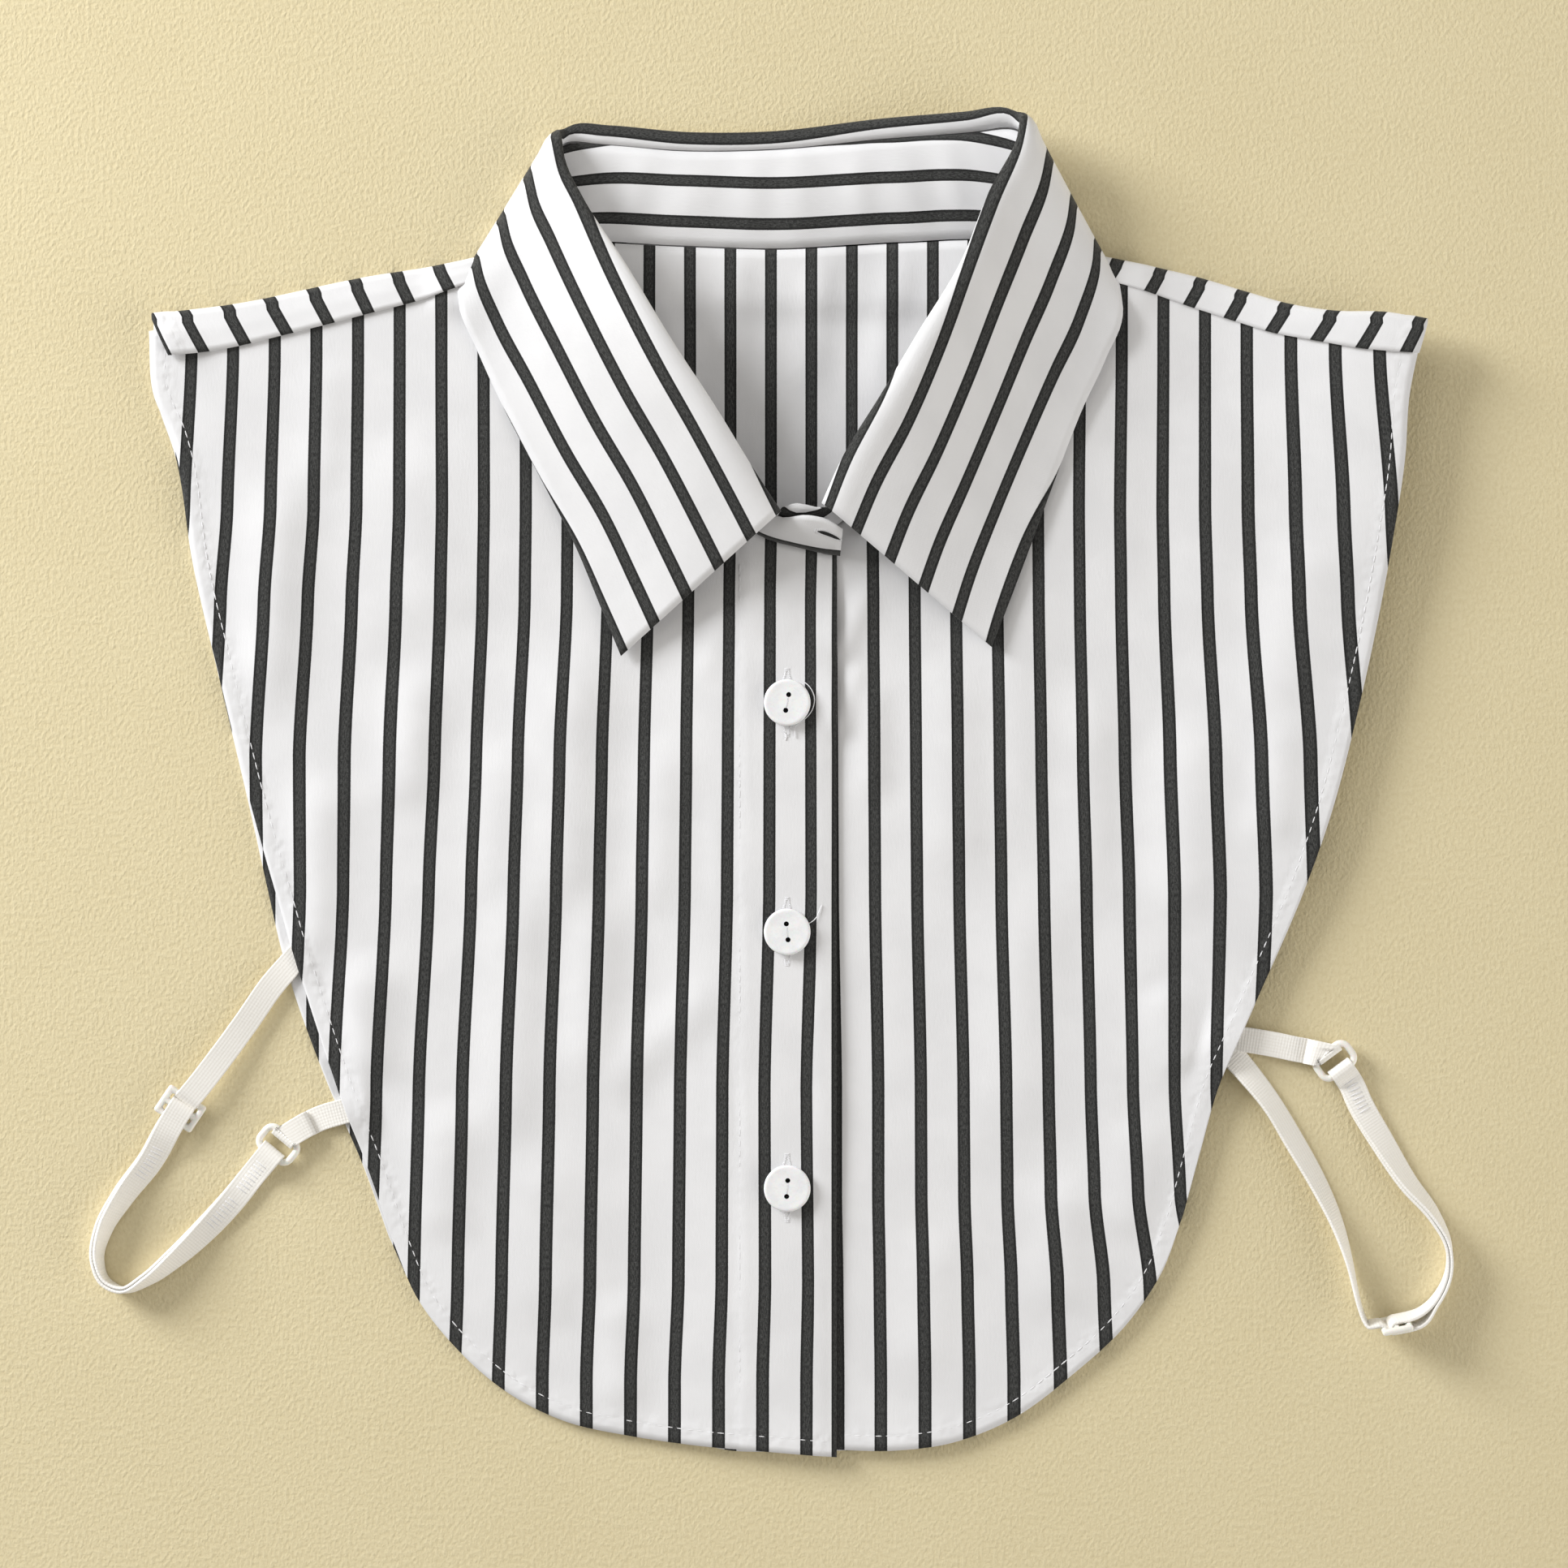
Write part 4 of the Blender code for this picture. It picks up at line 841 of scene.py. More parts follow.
def add_cloth(builder, rows, marks, mirrored=False):
    """Lay a grid of cloth. A mark is number, length, hem line, placket line, thickness."""
    if mirrored:
        rows, marks = ([row[::-1] for row in grid] for grid in (rows, marks))
    across, along = len(rows[0]) - 1, len(rows) - 1
    made = bmesh.ops.create_grid(builder, x_segments=across, y_segments=along, size=1.0)
    weave = builder.loops.layers.uv["weave"]
    hem_line = builder.verts.layers.float["hem_line"]
    placket_line = builder.verts.layers.float["placket_line"]
    thickness = builder.verts.layers.deform.verify()
    for vertex in made["verts"]:
        i = round((vertex.co.x + 1) / 2 * across)
        j = round((vertex.co.y + 1) / 2 * along)
        number, length, hem, placket, thick = marks[j][i]
        vertex.co = rows[j][i] * MM
        vertex[hem_line], vertex[placket_line] = hem, placket
        vertex[thickness][0] = thick
        for loop in vertex.link_loops:
            loop[weave].uv = (number, length / REPEAT)


def add_piece(name, data, finish, node=None):
    """Add a mesh or a curve as a shown piece that rides on the body."""
    data.materials.append(finish)
    piece = bpy.data.objects.new(name, data)
    bpy.context.collection.objects.link(piece)
    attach(piece, "root")
    if node:
        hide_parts(node)
    return piece


def show(name, builder, finish, node=None):
    """Turn a bmesh into a shown piece."""
    mesh = mesh_of(name, builder)
    mesh.shade_smooth()
    return add_piece(name, mesh, finish, node)


def add_wall(piece, thickness, thinnest):
    """Give a piece its thickness, with less of it where its marks say so."""
    piece.vertex_groups.new(name="thickness")
    wall = piece.modifiers.new("wall", "SOLIDIFY")
    wall.thickness, wall.offset = thickness * MM, 0.0
    wall.vertex_group = "thickness"
    wall.thickness_vertex_group = thinnest
    return wall


def show_cloth(name, builder, node, even_offset=True):
    """Finish a piece of cloth: merge, give it its thickness, and show it."""
    bmesh.ops.remove_doubles(builder, verts=builder.verts, dist=MERGE * MM)
    piece = show(name, builder, COTTON, node)
    add_wall(piece, THICK, THIN / THICK).use_even_offset = even_offset
    print(name, len(piece.data.polygons), "faces before its wall")
    return piece


def edge_finder(*lines):
    """Return a tree that finds the nearest point of some edges."""
    points = [point for line in lines for point in line]
    tree = KDTree(len(points))
    for index, point in enumerate(points):
        tree.insert((point.x, point.y, 0.0), index)
    tree.balance()
    return tree


def patch(top, bottom, left, right):
    """Fill four edges with rows of points, from the top row down."""
    corners = [top[0], top[-1], bottom[0], bottom[-1]]
    rows = []
    for j in range(len(left)):
        v = j / (len(left) - 1)
        row = []
        for i in range(len(top)):
            u = i / (len(top) - 1)
            edges = (top[i] * (1 - v) + bottom[i] * v
                     + left[j] * (1 - u) + right[j] * u)
            ties = ((corners[0] * (1 - u) + corners[1] * u) * (1 - v)
                    + (corners[2] * (1 - u) + corners[3] * u) * v)
            row.append(edges - ties)
        rows.append(row)
    return rows


def rightward(points, i):
    """Return the level direction to the right of a row of points, at one of them."""
    along = points[min(i + 1, len(points) - 1)] - points[max(i - 1, 0)]
    return Vector((along.y, -along.x)).normalized()


def draped(plan, height):
    """Lay rows of places in plan on cloth of a given height, from the last row up."""
    return [[laid(p.x, p.y, height) for p in row] for row in plan[::-1]]


def hem_thickness(from_line):
    """Return the share of thickness at a distance inside a hem's stitch line."""
    return 1 - smoothstep(from_line / HEM_FADE)


def hemmed(place, edges, line=None):
    """Return the hem, placket and thickness marks of a place on a panel."""
    hem = edges.find((place.x, place.y, 0.0))[2] - HEM_WIDTH
    placket = FAR if line is None else max(-FAR, min(FAR, place.x - line))
    return max(-FAR, min(FAR, hem)), placket, hem_thickness(hem)


print("cloth helpers ready")

# %% [markdown]
# ## The shape of the collar
#
# Stand and fall are one tube round the neck. It is described by sections taken
# across it, from one front point round the back to the other: where the fold
# rolls over, where the leaf ends, and where the neck seam is. Between sections
# the shape is lofted. At the back the leaf is tucked below the panels, so it
# turns over on a diagonal fold at each side.

# %% Collar sections, in millimetres
COLLAR = [
    # turn, roll x, y, z, edge x, y, clear, neck x, y, in, down
    (1, 2.6, 75.9, 15.0, -42.3, 36.0, 2.6, -3.4, 70.2, 1.0, 3.8),
    (1, -4.5, 86.6, 17.5, -47.6, 48.8, 2.2, -16.0, 79.2, 1.6, 4.4),
    (1, -15.7, 104.7, 21.0, -55.4, 67.6, 1.9, -30.9, 95.2, 2.0, 5.0),
    (1, -27.0, 121.8, 23.0, -64.6, 85.5, 1.7, -46.3, 114.1, 2.2, 5.6),
    (1, -41.0, 144.9, 21.5, -75.0, 105.3, 1.7, -63.8, 133.1, 2.4, 6.0),
    (1, -53.1, 164.0, 16.0, -82.7, 121.9, 1.7, -72.5, 143.4, 2.6, 5.6),
    (1, -58.2, 175.2, 12.0, -87.6, 133.5, 1.9, -76.3, 148.2, 4.6, 3.0),
    (0, -60.8, 184.4, 7.2, -88.2, 141.0, 0.0, -77.9, 150.0, 5.4, 1.4),
    (-1, -55.5, 185.8, 3.6, -80.8, 141.2, 0.0, -72.6, 151.6, 5.8, 0.1),
    (-1, -46.0, 185.6, 3.0, -66.5, 141.6, 0.0, -57.3, 152.8, 5.6, -0.2),
    (-1, -22.9, 183.7, 2.7, -29.8, 140.7, 0.0, -27.5, 151.9, 5.0, -0.2),
    (-1, 0.0, 183.9, 2.9, 0.0, 140.2, 0.0, 0.0, 151.0, 4.8, -0.2),
    (-1, 31.4, 187.2, 5.0, 39.0, 140.5, 0.0, 36.7, 152.8, 5.4, 0.3),
    (-1, 54.8, 188.6, 8.6, 73.4, 141.0, 0.0, 64.3, 153.4, 5.6, 0.9),
    (-1, 66.1, 189.2, 11.4, 90.2, 141.2, 0.0, 82.4, 151.4, 5.8, 1.4),
    (0, 71.6, 188.0, 14.6, 97.8, 142.0, 0.0, 88.1, 150.0, 5.4, 1.6),
    (1, 69.2, 180.4, 18.0, 99.0, 133.6, 2.6, 86.5, 148.2, 4.4, 4.0),
    (1, 61.1, 164.5, 21.5, 94.2, 119.4, 2.6, 82.6, 143.4, 3.2, 6.0),
    (1, 53.3, 145.0, 24.0, 87.6, 105.2, 2.2, 73.9, 133.1, 2.6, 6.2),
    (1, 41.8, 125.9, 24.5, 80.1, 85.8, 1.9, 56.5, 114.1, 2.2, 5.8),
    (1, 30.8, 107.7, 22.0, 72.9, 66.2, 1.9, 41.1, 95.2, 2.0, 5.0),
    (1, 20.5, 91.1, 18.0, 66.5, 49.3, 2.2, 26.2, 79.2, 1.6, 4.4),
    (1, 14.6, 78.3, 15.0, 62.3, 38.5, 2.8, 13.6, 70.2, 1.0, 3.8),
]
# stripe number at the roll and at the edge of the leaf, how much further it falls
# just at the roll, and the largest number that shows, section by section
OPEN, CAPPED = 6.0, 4.83
LEAF_NUMBERS = [(0.14, 5.07, 0.18, OPEN), (0.24, 5.04, 0.12, OPEN), (0.32, 4.98, 0.05, OPEN),
                (0.44, 4.87, 0.0, OPEN), (0.62, 4.86, 0.0, OPEN), (0.92, 4.73, 0.0, OPEN),
                (0.92, 4.74, 0.0, OPEN), (1.02, 4.60, 0.0, OPEN), (1.13, 5.10, 0.0, OPEN),
                (1.13, 5.10, 0.0, OPEN), (1.14, 4.75, 0.0, OPEN), (1.14, 4.75, 0.0, OPEN),
                (1.09, 5.00, 0.0, OPEN), (1.07, 5.30, 0.0, CAPPED), (1.04, 5.25, 0.0, CAPPED),
                (1.08, 4.86, 0.0, CAPPED), (0.98, 5.06, 0.0, CAPPED), (0.86, 4.96, 0.0, CAPPED),
                (0.80, 5.02, 0.0, CAPPED), (0.38, 5.15, 0.0, 4.88), (0.12, 5.22, 0.10, 5.12),
                (0.06, 5.15, 0.20, 5.12), (0.05, 5.04, 0.30, 5.06)]
ROLL_DIP_SHARE, CAP_FROM = 0.22, 4.4
TAB_END = [(8.1, 66.6, 10.6, 74.9, 10.2), (15.2, 64.9, 16.4, 73.6, 9.8),
           (19.6, 64.4, 20.2, 71.4, 8.6)]
UNDERTAB_END = [(6.8, 68.6, 7.4, 78.4, 10.2), (-2.2, 72.0, 3.4, 77.6, 7.7)]
LEAF_LEVELS = [(0.16, 0.89, 0.59), (0.36, 0.66, 0.26), (0.62, 0.34, 0.05),
               (0.86, 0.09, 0.0), (1.0, 0.0, 0.0)]
CENTRE_X = 5.0                      # the collar's left half lies left of it
ROLL_REACH, ROLL_CREST = 2.4, 1.1
# how far the seam side of the roll reaches and rises: leaf outside, leaf tucked under
HOOKS = {True: (1.0, 2 * ROLL_CREST), False: (ROLL_REACH, 0.9 * ROLL_CREST)}
CORNER_WIDTH, CORNER_GAP = 2.6, 0.7
STAND_SET, PANEL_SET = 0.35, 0.1
STAND_CELLS, STAND_BULGE = 10, 1.0
LEFT_FOLD, RIGHT_FOLD = 7, 15
COLLAR_STEP = 2.2
SEAM_TRIM, WALL = 0.21, 0.9
# cells between one level of a section and the next, from the seam to the edge
FALL_CELLS = (2, 4, 4, 3, 3, 4, 4, 3)


def seam_trim(before, seam, after):
    """Return how far two walls end from a seam, so that their corners stay apart."""
    bend = (seam - before).angle(after - seam)
    return SEAM_TRIM + WALL / 2 * math.tan(bend / 2)


def neck_foot(row):
    """Return the point of a section's neck seam, at the height of its panel."""
    turn, nx, ny = row[0], row[7], row[8]
    if turn < 1:
        return laid(nx, ny, back_height, SHOULDER_ROLL * (turn + 1))
    return laid(nx, ny, placket_height if nx < CENTRE_X else front_height)


def collar_section(row):
    """Return a section of the collar: its leaf points, and where the stand ends."""
    turn, rx, ry, rz, ex, ey, clear, _, _, inset, down = row
    roll = Vector((rx, ry, rz))
    out = Vector((ex - rx, ey - ry, 0)).normalized()
    weight = (turn + 1) / 2
    edge = Vector((ex, ey, FLOOR_MIDDLE)).lerp(laid(ex, ey, front_height, clear), weight)
    if turn == 0:
        edge.z = (FLOOR_MIDDLE + back_height(ex, ey) + 2 * SHOULDER_ROLL + LAYER) / 2
    inner = Vector((-out.y, out.x, 0)) * (1 if rx < CENTRE_X else -1)
    aside = inner * (1 - abs(turn)) * CORNER_WIDTH
    up = Vector((0, 0, 1))
    reach, crest = HOOKS[turn > 0]
    before = roll + out * reach - up * turn * crest + aside
    after = roll + out * ROLL_REACH + up * turn * ROLL_CREST
    seam = roll + out * inset - up * down + aside
    foot = neck_foot(row)
    from_fold = min(abs(COLLAR.index(row) - fold) for fold in (LEFT_FOLD, RIGHT_FOLD))
    trim = seam_trim(foot, seam, before) + CORNER_GAP * max(0.0, 1 - from_fold / 2)
    points = [seam + (before - seam).normalized() * trim, before, roll + aside / 2, after]
    for share, high, low in LEAF_LEVELS:
        plan = roll.lerp(edge, share)
        kept = high * weight + low * (1 - weight)
        plan.z = edge.z + (after.z - edge.z) * kept
        points.append(plan)
    return points, seam + (foot - seam).normalized() * trim


def stand_section(foot, top):
    """Return points from the neck seam up to the top of the stand."""
    run = top - foot
    level = Vector((run.x, run.y, 0))
    bulge = run.cross(Vector((-level.y, level.x, 0))).normalized() * STAND_BULGE
    if bulge.z < 0:
        bulge = -bulge
    foot = foot + run.normalized() * STAND_SET
    run = top - foot
    return [foot + run * s + bulge * (4 * s * (1 - s)) for s in even(STAND_CELLS)]


def arc_between(middle, end):
    """Return the points half way round a quarter turn from middle to end."""
    half_way = math.radians(45)
    points = [m.lerp(e, 1 - math.cos(half_way)) for m, e in zip(middle, end)]
    for point, m, e in zip(points, middle, end):
        point.z = m.z + (e.z - m.z) * math.sin(half_way)
    return points


def with_arcs(sections, join=arc_between):
    """Add a section at each side of every diagonal fold to round it."""
    result = []
    for i, section in enumerate(sections):
        if COLLAR[i][0] == 0:
            result += [join(section, sections[i - 1]), section, join(section, sections[i + 1])]
        else:
            result.append(section)
    return result


def loft_knots(sections):
    """Return the running distance from section to section."""
    middle = len(sections[0]) // 2
    knots = [0.0]
    for before, after in zip(sections, sections[1:]):
        spans = [(after[k] - before[k]).length for k in (0, middle, -1)]
        knots.append(knots[-1] + sum(spans) / len(spans))
    return knots


def loft_places(knots):
    """Return places at every knot, and more where the knots lie far apart."""
    places = []
    for start, end in zip(knots, knots[1:]):
        parts = max(1, round((end - start) / COLLAR_STEP))
        places += [start + (end - start) * k / parts for k in range(parts)]
    return places + [knots[-1]]


def loft(sections, knots, places):
    """Join sections smoothly into rows of points at the given places."""
    rows = []
    for track in zip(*sections):
        at = smooth_curve(track, knots)
        rows.append([at(place) for place in places])
    return rows


FALL_SECTIONS = with_arcs([collar_section(row)[0] for row in COLLAR])
FALL_KNOTS = loft_knots(FALL_SECTIONS)
print("the collar is", round(FALL_KNOTS[-1]), "mm long at its middle")

# %% [markdown]
# ## The neck seam in plan
#
# The panels end on this line and the stand begins on it, so both read it here.


# %% Neck seam
def neck_line(first, last):
    """Return the neck seam in plan between two sections of the collar."""
    feet = with_arcs([[neck_foot(row)] for row in COLLAR])
    start, end = (FALL_KNOTS[i + 2 * sum(row[0] == 0 for row in COLLAR[:i])]
                  for i in (first, last))
    places = [place for place in loft_places(FALL_KNOTS) if start <= place <= end]
    return [point.xy for point in loft(feet, FALL_KNOTS, places)[0]]


def set_back(points, side):
    """Move a neckline back from its seam, to its left or right side."""
    return [point + rightward(points, i) * side * PANEL_SET for i, point in enumerate(points)]


BACK_NECK = neck_line(LEFT_FOLD + 1, RIGHT_FOLD - 1)
print("back neck seam:", round(knots_of(BACK_NECK)[-1]), "mm")

# %% [markdown]
# ## Back panel
#
# The back is cut in one with a narrow strip at each shoulder, which folds over
# to the front and ends on the seam. It is made as one sheet below, a half
# round roll along each fold, and the strip on top. The strip is sewn down over
# the front, so its edge stands a little higher than the front beside it.

# %% Back panel
SHOULDER_CELLS, BACK_CELLS, STRIP_CELLS = 48, 120, 6
STRIP_RISE, STRIP_CURL = 0.62, 1.0   # mm above the front, and of cloth round the roll
ROLL_ANGLES = range(-90, 91, 18)     # degrees
# where each stripe crosses the fold and the seam of a strip, from the number given
STRIP_MARKS = {
    "left": ((-176.0, -166.4, -154.2, -142.3, -130.0, -118.1, -106.2, -94.2, -82.2),
             (-170.2, -160.0, -148.3, -136.4, -124.7, -113.5, -102.0, -90.6, -79.2)),
    "right": ((98.4, 110.8, 122.3, 133.9, 146.1, 158.9, 172.2, 183.1),
              (94.8, 106.9, 117.9, 129.4, 141.0, 153.6, 166.0, 178.3)),
}
STRIP_FIRST = {"left": 0, "right": 1}
TIP_LIFT, TIP_LENGTH = 1.3, 15.0


def strip_number(side, x, share):
    """Return the stripe number on a shoulder strip, at a share of its width."""
    marks = [fold + (seam - fold) * share for fold, seam in zip(*STRIP_MARKS[side])]
    first = STRIP_FIRST[side]
    return read_line(marks, list(range(first, first + len(marks))), x)


def shoulder_strip(builder, side, folds, bases):
    """Add the roll along one shoulder and the strip in front of it."""
    marks_along = STRIP_END_LEFT + SEAM_LEFT[2:] if side == "left" else SEAM_RIGHT
    seam = smooth_row(marks_along, even(SHOULDER_CELLS))
    width = (seam[SHOULDER_CELLS // 2] - folds[SHOULDER_CELLS // 2]).length
    along = knots_of(folds)
    rows, marks = [], []
    for angle in map(math.radians, ROLL_ANGLES):
        down = SHOULDER_ROLL * angle
        row, row_marks = [], []
        for fold, base, run in zip(folds, bases, along):
            plan = fold + (base - fold) * (1 - math.cos(angle))
            middle = back_height(base.x, base.y) + SHOULDER_ROLL
            row.append(Vector((plan.x, plan.y, middle + SHOULDER_ROLL * math.sin(angle))))
            row_marks.append((strip_number(side, plan.x, down / width), down,
                              run - HEM_WIDTH, FAR, hem_thickness(run - HEM_WIDTH)))
        rows.append(row)
        marks.append(row_marks)
    top = rows[-1]
    for share in even(STRIP_CELLS)[1:]:
        row, row_marks = [], []
        for start, end, fold, run in zip(top, seam, folds, along):
            plan = start.xy.lerp(end, share)
            level = front_height(plan.x, plan.y) + STRIP_RISE
            if side == "left":
                level += TIP_LIFT * smoothstep(1 - run / TIP_LENGTH)
            z = start.z + (level - start.z) * smoothstep(share * 2)
            row.append(Vector((plan.x, plan.y, z)))
            down = (plan - fold).length
            thick = max(hem_thickness(run - HEM_WIDTH), smoothstep(share * 3 - 2))
            row_marks.append((strip_number(side, plan.x, down / (fold - end).length),
                              down + STRIP_CURL, run - HEM_WIDTH, FAR, thick))
        rows.append(row)
        marks.append(row_marks)
    add_cloth(builder, rows, marks, mirrored=side == "right")


def back_cloth():
    """Make the half back with its shoulder strips."""
    folds, bases = {}, {}
    for side, fold, turn in (("left", FOLD_LEFT, 1), ("right", FOLD_RIGHT, -1)):
        folds[side] = smooth_row(fold, even(SHOULDER_CELLS))
        bases[side] = [p + rightward(folds[side], i) * turn * SHOULDER_ROLL
                       for i, p in enumerate(folds[side])]
    top = bases["left"] + set_back(BACK_NECK, 1) + bases["right"][::-1]
    bottom = smooth_row(BACK_HEM, even(len(top) - 1))
    left = smooth_row([top[0]] + BACK_ARMHOLE_LEFT[1:], even(BACK_CELLS))
    right = smooth_row([top[-1]] + BACK_ARMHOLE_RIGHT[1:], even(BACK_CELLS))
    edges = edge_finder(left, bottom, right)
    rows = draped(patch(top, bottom, left, right), back_height)
    marks = [[(back_number(p), -p.y, *hemmed(p, edges)) for p in row] for row in rows]
    builder = new_cloth()
    add_cloth(builder, rows, marks)
    for side in ("left", "right"):
        shoulder_strip(builder, side, folds[side], bases[side])
    return show_cloth("back_cloth", builder, "back_panel")


BACK = back_cloth()

# %% [markdown]
# ## Fronts
#
# Each front is bounded by the shoulder seam and the neckline above, the
# armhole outside, the hem below and the centre edge. The two share one
# function. The left one carries the placket, a band folded to the outside and
# sewn down, which lies over the other front. Each front runs a few millimetres
# under the shoulder strip, as the real seam allowance does.

# %% Fronts
FRONT_CELLS, NECK_CELLS = 140, 54
SEAM_ALLOWANCE, TIP_ALLOWANCE, TIP_CELLS = 3.0, 5.0, SHOULDER_CELLS / 3
BAND_STEP = 0.8                      # mm over which a placket or underlap thickens
BAND_LEFT, BAND_RIGHT = PLACKET_LEFT - 0.4, PLACKET_RIGHT - 0.5
# the placket thins towards its folded edge: how much, from x, over so many mm
EDGE_THIN, EDGE_THIN_FROM, EDGE_THIN_RUN = 0.6, 14.0, 3.0


def neck_points(side):
    """Return the front neckline of one side, from the shoulder down."""
    if side == "left":
        line, ends = neck_line(0, LEFT_FOLD - 2)[::-1], TAB_END[:2]
    else:
        line, ends = neck_line(RIGHT_FOLD + 2, len(COLLAR) - 1), UNDERTAB_END
    return line + [Vector(end[:2]) for end in ends]


def front_thickness(side, x, thick):
    """Return the share of thickness on a front, with its placket or underlap."""
    if side == "right":
        return max(thick, smoothstep((BAND_RIGHT - x) / BAND_STEP))
    thick = max(thick, smoothstep((x - BAND_LEFT) / BAND_STEP))
    return thick - EDGE_THIN * smoothstep((x - EDGE_THIN_FROM) / EDGE_THIN_RUN)


def front_cloth(side, armhole, seam, hem, neck_end, height, number):
    """Make one front. Its hem runs from the armhole to the centre edge."""
    turn, tip, line = (1, TIP_ALLOWANCE, PLACKET_LEFT) if side == "left" else (-1, 0.0, None)
    seam_row = smooth_row(seam, even(SHOULDER_CELLS))
    seam_row = [p - rightward(seam_row, i) * turn * (
        SEAM_ALLOWANCE + tip * smoothstep(1 - i / TIP_CELLS)) for i, p in enumerate(seam_row)]
    neck = smooth_row(neck_points(side) + [Vector(neck_end)], even(NECK_CELLS))
    top = seam_row + set_back(neck, turn)
    outer = smooth_row([seam_row[0]] + armhole[1:], even(FRONT_CELLS))
    bottom = smooth_row(hem, even(len(top) - 1))
    inner = smooth_row([top[-1], bottom[-1]], even(FRONT_CELLS))
    edges = edge_finder(outer, bottom)
    rows = draped(patch(top, bottom, outer, inner), height)
    marks = []
    for row in rows:
        row_marks = []
        for p in row:
            *lines, thick = hemmed(p, edges, line)
            row_marks.append((number(p), -p.y, *lines, front_thickness(side, p.x, thick)))
        marks.append(row_marks)
    builder = new_cloth()
    add_cloth(builder, rows, marks, mirrored=side == "right")
    piece = show_cloth(f"front_{side}_cloth", builder, f"front_{side}")
    return piece, outer + bottom[1:]


FRONT_LEFT, EDGE_LEFT = front_cloth("left", ARMHOLE_LEFT, SEAM_LEFT, HEM_LEFT,
                                    (PLACKET_RIGHT, NECK_END_LEFT), placket_height, left_number)
FRONT_RIGHT, EDGE_RIGHT = front_cloth("right", ARMHOLE_RIGHT, SEAM_RIGHT, HEM_RIGHT[::-1],
                                      (PLACKET_LEFT, NECK_END_RIGHT), front_height,
                                      right_number)

# %% [markdown]
# ## Turned-down collar
#
# The leaf is stiffer than the fronts, so it stays smooth and keeps one
# thickness. Its stripes run along it. The number at the roll and at the edge
# is given per section, and a place between reads it by its share of the way.
# Inside the roll the count goes on by the length of cloth.


# %% Turned-down collar
def fine_column(points, cells):
    """Return a section with more points, on the smooth curve through it."""
    knots = knots_of(points)
    at = smooth_curve(points, knots)
    fine = [points[0]]
    for j, parts in enumerate(cells):
        span = knots[j + 1] - knots[j]
        fine += [at(knots[j] + span * k / parts) for k in range(1, parts + 1)]
    return fine


def leaf_marks(column, numbers, place):
    """Return the marks along one section of the fall."""
    crest = FALL_CELLS[0] + FALL_CELLS[1]
    roll, edge = column[crest], column[-1]
    run = (edge - roll).xy
    squeeze = min(1.0, (numbers.w - CAP_FROM) / max(0.1, numbers.y - CAP_FROM))
    marks = []
    for k, point in enumerate(column):
        if k >= crest:
            share = (point - roll).xy.dot(run) / run.length_squared
            dip = max(0.0, 1 - share / ROLL_DIP_SHARE) ** 2 * numbers.z
            number = numbers.x + (numbers.y - numbers.x) * share - dip
            number = min(number, CAP_FROM + (number - CAP_FROM) * squeeze)
        else:
            inside = sum((column[m + 1] - column[m]).length for m in range(k, crest))
            number = numbers.x - numbers.z - inside / REPEAT
        marks.append((number, place, *PLAIN))
    return marks


def fall_cloth():
    """Make the turned-down collar."""
    places = loft_places(FALL_KNOTS)
    levels = loft(FALL_SECTIONS, FALL_KNOTS, places)
    numbers = with_arcs([Vector(row) for row in LEAF_NUMBERS],
                        lambda middle, end: middle.lerp(end, 0.5))
    numbers = loft([[row] for row in numbers], FALL_KNOTS, places)[0]
    columns = [fine_column(list(column), FALL_CELLS) for column in zip(*levels)]
    for point in (point for column in columns for point in column):
        point.z = max(point.z, FLOOR_MIDDLE)
    marks = [leaf_marks(*parts) for parts in zip(columns, numbers, places)]
    builder = new_cloth()
    add_cloth(builder, list(zip(*columns)), list(zip(*marks)))
    return show_cloth("fall_cloth", builder, "collar_fall", even_offset=False)


FALL = fall_cloth()

# %% [markdown]
# ## Stand
#
# The stand is the band between the neck seam and the fall. Its front end on
# the left is the tab with the buttonhole, which shows between the two points
# of the collar, and its other end lies below that one.

# %% Stand
STAND_REPEAT = 11.5
# stripe number at the neck seam, by section of the collar
STAND_PHASES = [-0.02, 0.0, -0.1, -0.2, -0.35, -0.5, -0.55, *[-0.59] * 9,
                -0.55, -0.5, -0.35, -0.2, -0.05, 0.1, 0.16]
# soft dents in the band at the back: place from its middle, width, height
STAND_DENTS = [(-58.0, 6.0, 0.5), (-43.0, 4.0, 0.5), (-27.0, 6.5, 0.6), (-9.0, 4.5, 0.5),
               (4.0, 5.0, 0.6), (21.0, 4.0, 0.6), (35.0, 6.0, 0.5), (50.0, 4.0, 0.5)]
# tab phases: the dark band at its lower edge is a real stripe, widened as painted shadow
TAB_PHASES, UNDERTAB_PHASES, TAB_TOP = [-0.14, -0.10, -0.05], [0.16, 0.16], 0.845


def dents(place):
    """Return how far the band bulges up at a place from its middle."""
    return sum(height * math.exp(-((place - middle) / width) ** 2)
               for middle, width, height in STAND_DENTS)


